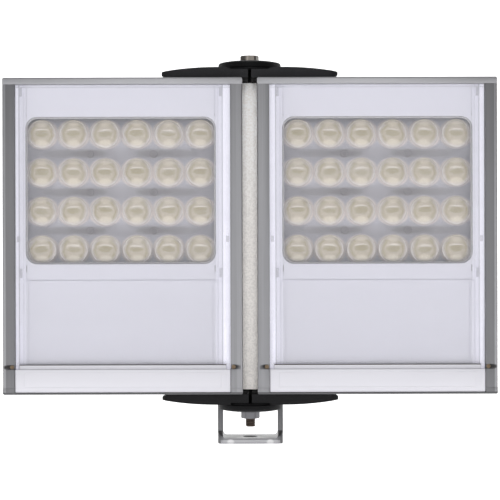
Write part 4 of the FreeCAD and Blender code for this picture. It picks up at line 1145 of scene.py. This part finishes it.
class ILLUMINATOR_OT_fasteners(bpy.types.Operator):
    """Screws with drive recesses, the bolts and their threads"""

    bl_idname = "illuminator.fasteners"
    bl_label = "Fasteners"

    def execute(self, context):
        for side in SIDES:
            self.screws(side + "_arm_screws", *ARM_SCREW, bright_steel())
            self.screws(side + "_end_screws", *END_SCREW, bright_steel())
            self.screws(side + "_board_screws", *BOARD_SCREW, shaded_steel())
            self.screws(side + "_lock_screws", *LOCK_SCREW, warm_brass())
        self.screws("knuckle_screws", *KNUCKLE_SCREW, bright_steel())
        self.bolt("clamp_bolt", (0, 0, 1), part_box("clamp_nut"))
        self.nut("clamp_nut", (0, 0, -1))
        side = 1 if middle(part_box("tilt_nut")).x < 0 else -1
        self.bolt("tilt_bolt", (side, 0, 0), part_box("tilt_nut"))
        self.nut("tilt_nut", (-side, 0, 0))
        return {"FINISHED"}

    def bolt(self, node, axis, nut_box):
        """A bolt with a washer face under its chamfered head and a cut thread at its other end."""
        shape = Turned(node, axis)
        head = shape.flange - shape.low
        tall = shape.high - shape.low
        ridge = sizes().thread_deep
        core = shape.shank - ridge
        nut_tall = abs(nut_box[1].dot(Vector(axis)) - nut_box[0].dot(Vector(axis)))
        thread = THREAD_NUTS * max(nut_tall, LEAST_NUT)
        foot = thread - RUN_OUT
        face = shape.flat * HEAD_FACE
        around = sizes().turns_around
        levels = [(0.0, foot), (core * 0.98, foot), (shape.shank, thread + POINT), (shape.shank, head),
                  (face, head), (face, head + WASHER_FACE)]
        levels += hexagon(shape.flat, head + WASHER_FACE, tall, shape.start) + [(0.0, tall)]
        mesh = shape.seat(ringed_mesh(node + "_finished", levels, around))
        add_shape(node, "finished", mesh, bright_steel())
        levels = [(0.0, 0.0), (core - CORE_CHAMFER, 0.0), (core, POINT), (core, thread), (0.0, thread)]
        mesh = shape.seat(ringed_mesh(node + "_core", levels, around))
        add_shape(node, "core", mesh, thread_groove_shade(), replaces=False)
        wound = thread - 2 * POINT
        inputs = {"Radius": core - RIDGE_SUNK, "Length": wound, "Ridge": ridge,
                  "Turns": wound / sizes().thread_pitch, "Finish": thread_crest()}
        mesh = run_tree(node + "_thread", thread_tree(), bpy.data.meshes.new(node + "_seed"), inputs)
        add_shape(node, "thread", shape.seat(mesh, POINT), thread_crest(), replaces=False)

    def nut(self, node, axis):
        """A hexagon nut with chamfered corners and a countersunk bore, its outer face at the axis's end."""
        shape = Turned(node, axis)
        tall = shape.high - shape.low
        bore = shape.shank
        levels = [(bore, NUT_SINK), (bore + NUT_SINK, 0.0), (shape.flat * NUT_ROUND, 0.0)]
        levels += hexagon(shape.flat, NUT_FACE, tall, shape.start)
        levels += [(bore + NUT_SINK, tall), (bore, tall - NUT_SINK)]
        mesh = shape.seat(ringed_mesh(node + "_finished", levels, sizes().turns_around, closed=True))
        add_shape(node, "finished", mesh, zinc_plate())

    def screws(self, node, way, wide, tall, sides, material):
        """Way 1 faces forwards, -1 backwards and 2 away from the panel's middle."""
        drive = (wide * DRIVE_WIDE, tall * DRIVE_DEEP, sides)
        template = recess_head(node + "_head", wide / 2, tall, *drive, 48)
        groups = {}
        for low, high in solids_of(node):
            centre = (low + high) / 2
            if way == 1:
                groups.setdefault((0, -1, 0), []).append((centre.x, low.y + tall, centre.z))
            elif way == -1:
                groups.setdefault((0, 1, 0), []).append((centre.x, high.y - tall, centre.z))
            else:
                upper = centre.z > (CAD_BOX[0][2] + CAD_BOX[1][2]) / 2
                seat = high.z - tall if upper else low.z + tall
                groups.setdefault((0, 0, 1 if upper else -1), []).append((centre.x, centre.y, seat))
        for number, (axis, points) in enumerate(sorted(groups.items())):
            name = "%s_heads_%d" % (node, number + 1)
            piece = set_on_points(name, template.copy(), points, material, math.tau, 7 + number, facing(axis))
            seat_piece(piece, node)


class ILLUMINATOR_OT_glands(bpy.types.Operator):
    """Cable glands in black moulding"""

    bl_idname = "illuminator.glands"
    bl_label = "Glands"

    def execute(self, context):
        for side in SIDES:
            paint_node(side + "_gland", black_moulding())
        return {"FINISHED"}


class ILLUMINATOR_OT_stage(bpy.types.Operator):
    """Pale floor, soft studio light and the photograph's camera"""

    bl_idname = "illuminator.stage"
    bl_label = "Stage"

    def execute(self, context):
        scene = bpy.context.scene
        scene.view_settings.view_transform = "Standard"
        scene.view_settings.look = "None"
        self.ground()
        self.lights(scene)
        self.camera(scene)
        return {"FINISHED"}

    @staticmethod
    def ground():
        """Floor that curves up behind the object."""
        work = bmesh.new()
        half, front, back, high, bend = 6.0, -4.0, 2.2, 4.0, 1.2
        steps = 16
        section = [(front, 0.0)]
        for number in range(steps + 1):
            angle = math.radians(90 * number / steps)
            section.append((back - bend + bend * math.sin(angle), bend - bend * math.cos(angle)))
        section.append((back, high))
        left, right = [[work.verts.new((across, y, z)) for y, z in section] for across in (-half, half)]
        for number in range(len(section) - 1):
            work.faces.new((left[number], right[number], right[number + 1], left[number + 1]))
        mesh = finish_mesh(work, "ground")
        new_piece("ground", mesh, pale_ground())

    @staticmethod
    def lights(scene):
        """A dim white world, three broad lamps, and one that lights only the post in the panels' gap."""
        world = bpy.data.worlds.new("studio")
        world.use_nodes = True
        sky = world.node_tree.nodes["Background"].inputs
        sky["Color"].default_value = (1.0, 1.0, 1.0, 1.0)
        sky["Strength"].default_value = 0.24
        scene.world = world
        panels = (0.0, -0.08, 0.16)
        post = (0.0, -0.06, 0.16)
        plan = [
            ("front", (0.0, -2.4, 0.5), panels, (1.3, 1.8), 17.0, None),
            ("left", (-2.0, -1.2, 1.0), panels, (1.2, 1.6), 4.0, None),
            ("top", (0.0, -0.3, 2.2), panels, (2.4, 1.6), 5.0, None),
            ("gap", (0.0, -2.2, 0.3), post, (0.3, 0.8), 26.0, GAP_NODES),
        ]
        for name, place, target, (wide, tall), power, only in plan:
            lamp = bpy.data.lights.new(name, "AREA")
            lamp.shape = "RECTANGLE"
            lamp.size = wide
            lamp.size_y = tall
            lamp.energy = power
            thing = bpy.data.objects.new(name, lamp)
            scene.collection.objects.link(thing)
            thing.location = place
            thing.rotation_euler = (Vector(target) - Vector(place)).to_track_quat("-Z", "Y").to_euler()
            if only:
                lit = bpy.data.collections.new("lit by " + name)
                for piece in bpy.data.objects:
                    if piece.name.startswith(only):
                        lit.objects.link(piece)
                thing.light_linking.receiver_collection = lit

    @staticmethod
    def camera(scene):
        """Level camera in front of the panels, at the distance that gives the photograph's scale."""
        low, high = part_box("left_housing")
        scale = (high.x - low.x) / PANEL_PIXELS
        lens = bpy.data.cameras.new("camera")
        lens.sensor_width = 36.0
        lens.sensor_fit = "HORIZONTAL"
        lens.lens = lens.sensor_width * CAMERA_AWAY / (scale * PHOTO_SIDE)
        lens.clip_end = 50.0
        thing = bpy.data.objects.new("camera", lens)
        scene.collection.objects.link(thing)
        thing.location = (0.0, low.y - CAMERA_AWAY, EYE_HIGH)
        thing.rotation_euler = (math.radians(90), math.radians(CAMERA_ROLL), 0.0)
        scene.camera = thing


class ILLUMINATOR_PT_steps(bpy.types.Panel):
    """Lists the finishing steps"""

    bl_idname = "ILLUMINATOR_PT_steps"
    bl_label = "Illuminator"
    bl_space_type = "VIEW_3D"
    bl_region_type = "UI"
    bl_category = "Illuminator"

    def draw(self, context):
        for step in STEPS:
            self.layout.operator(step.bl_idname)
        for group in (context.scene.illuminator_sizes, context.scene.illuminator_colours):
            box = self.layout.box()
            for name in group.__annotations__:
                box.prop(group, name)


STEPS = (
    ILLUMINATOR_OT_metalwork,
    ILLUMINATOR_OT_post,
    ILLUMINATOR_OT_hub,
    ILLUMINATOR_OT_fronts,
    ILLUMINATOR_OT_lenses,
    ILLUMINATOR_OT_fasteners,
    ILLUMINATOR_OT_glands,
    ILLUMINATOR_OT_stage,
)
CLASSES = (IlluminatorSizes, IlluminatorColours, *STEPS, ILLUMINATOR_PT_steps)


def register():
    for item in CLASSES:
        bpy.utils.register_class(item)
    bpy.types.Scene.illuminator_sizes = PointerProperty(type=IlluminatorSizes)
    bpy.types.Scene.illuminator_colours = PointerProperty(type=IlluminatorColours)


def unregister():
    del bpy.types.Scene.illuminator_colours
    del bpy.types.Scene.illuminator_sizes
    for item in reversed(CLASSES):
        bpy.utils.unregister_class(item)


def main():
    register()
    for step in STEPS:
        group, name = step.bl_idname.split(".")
        getattr(getattr(bpy.ops, group), name)()


if __name__ == "__main__":
    main()
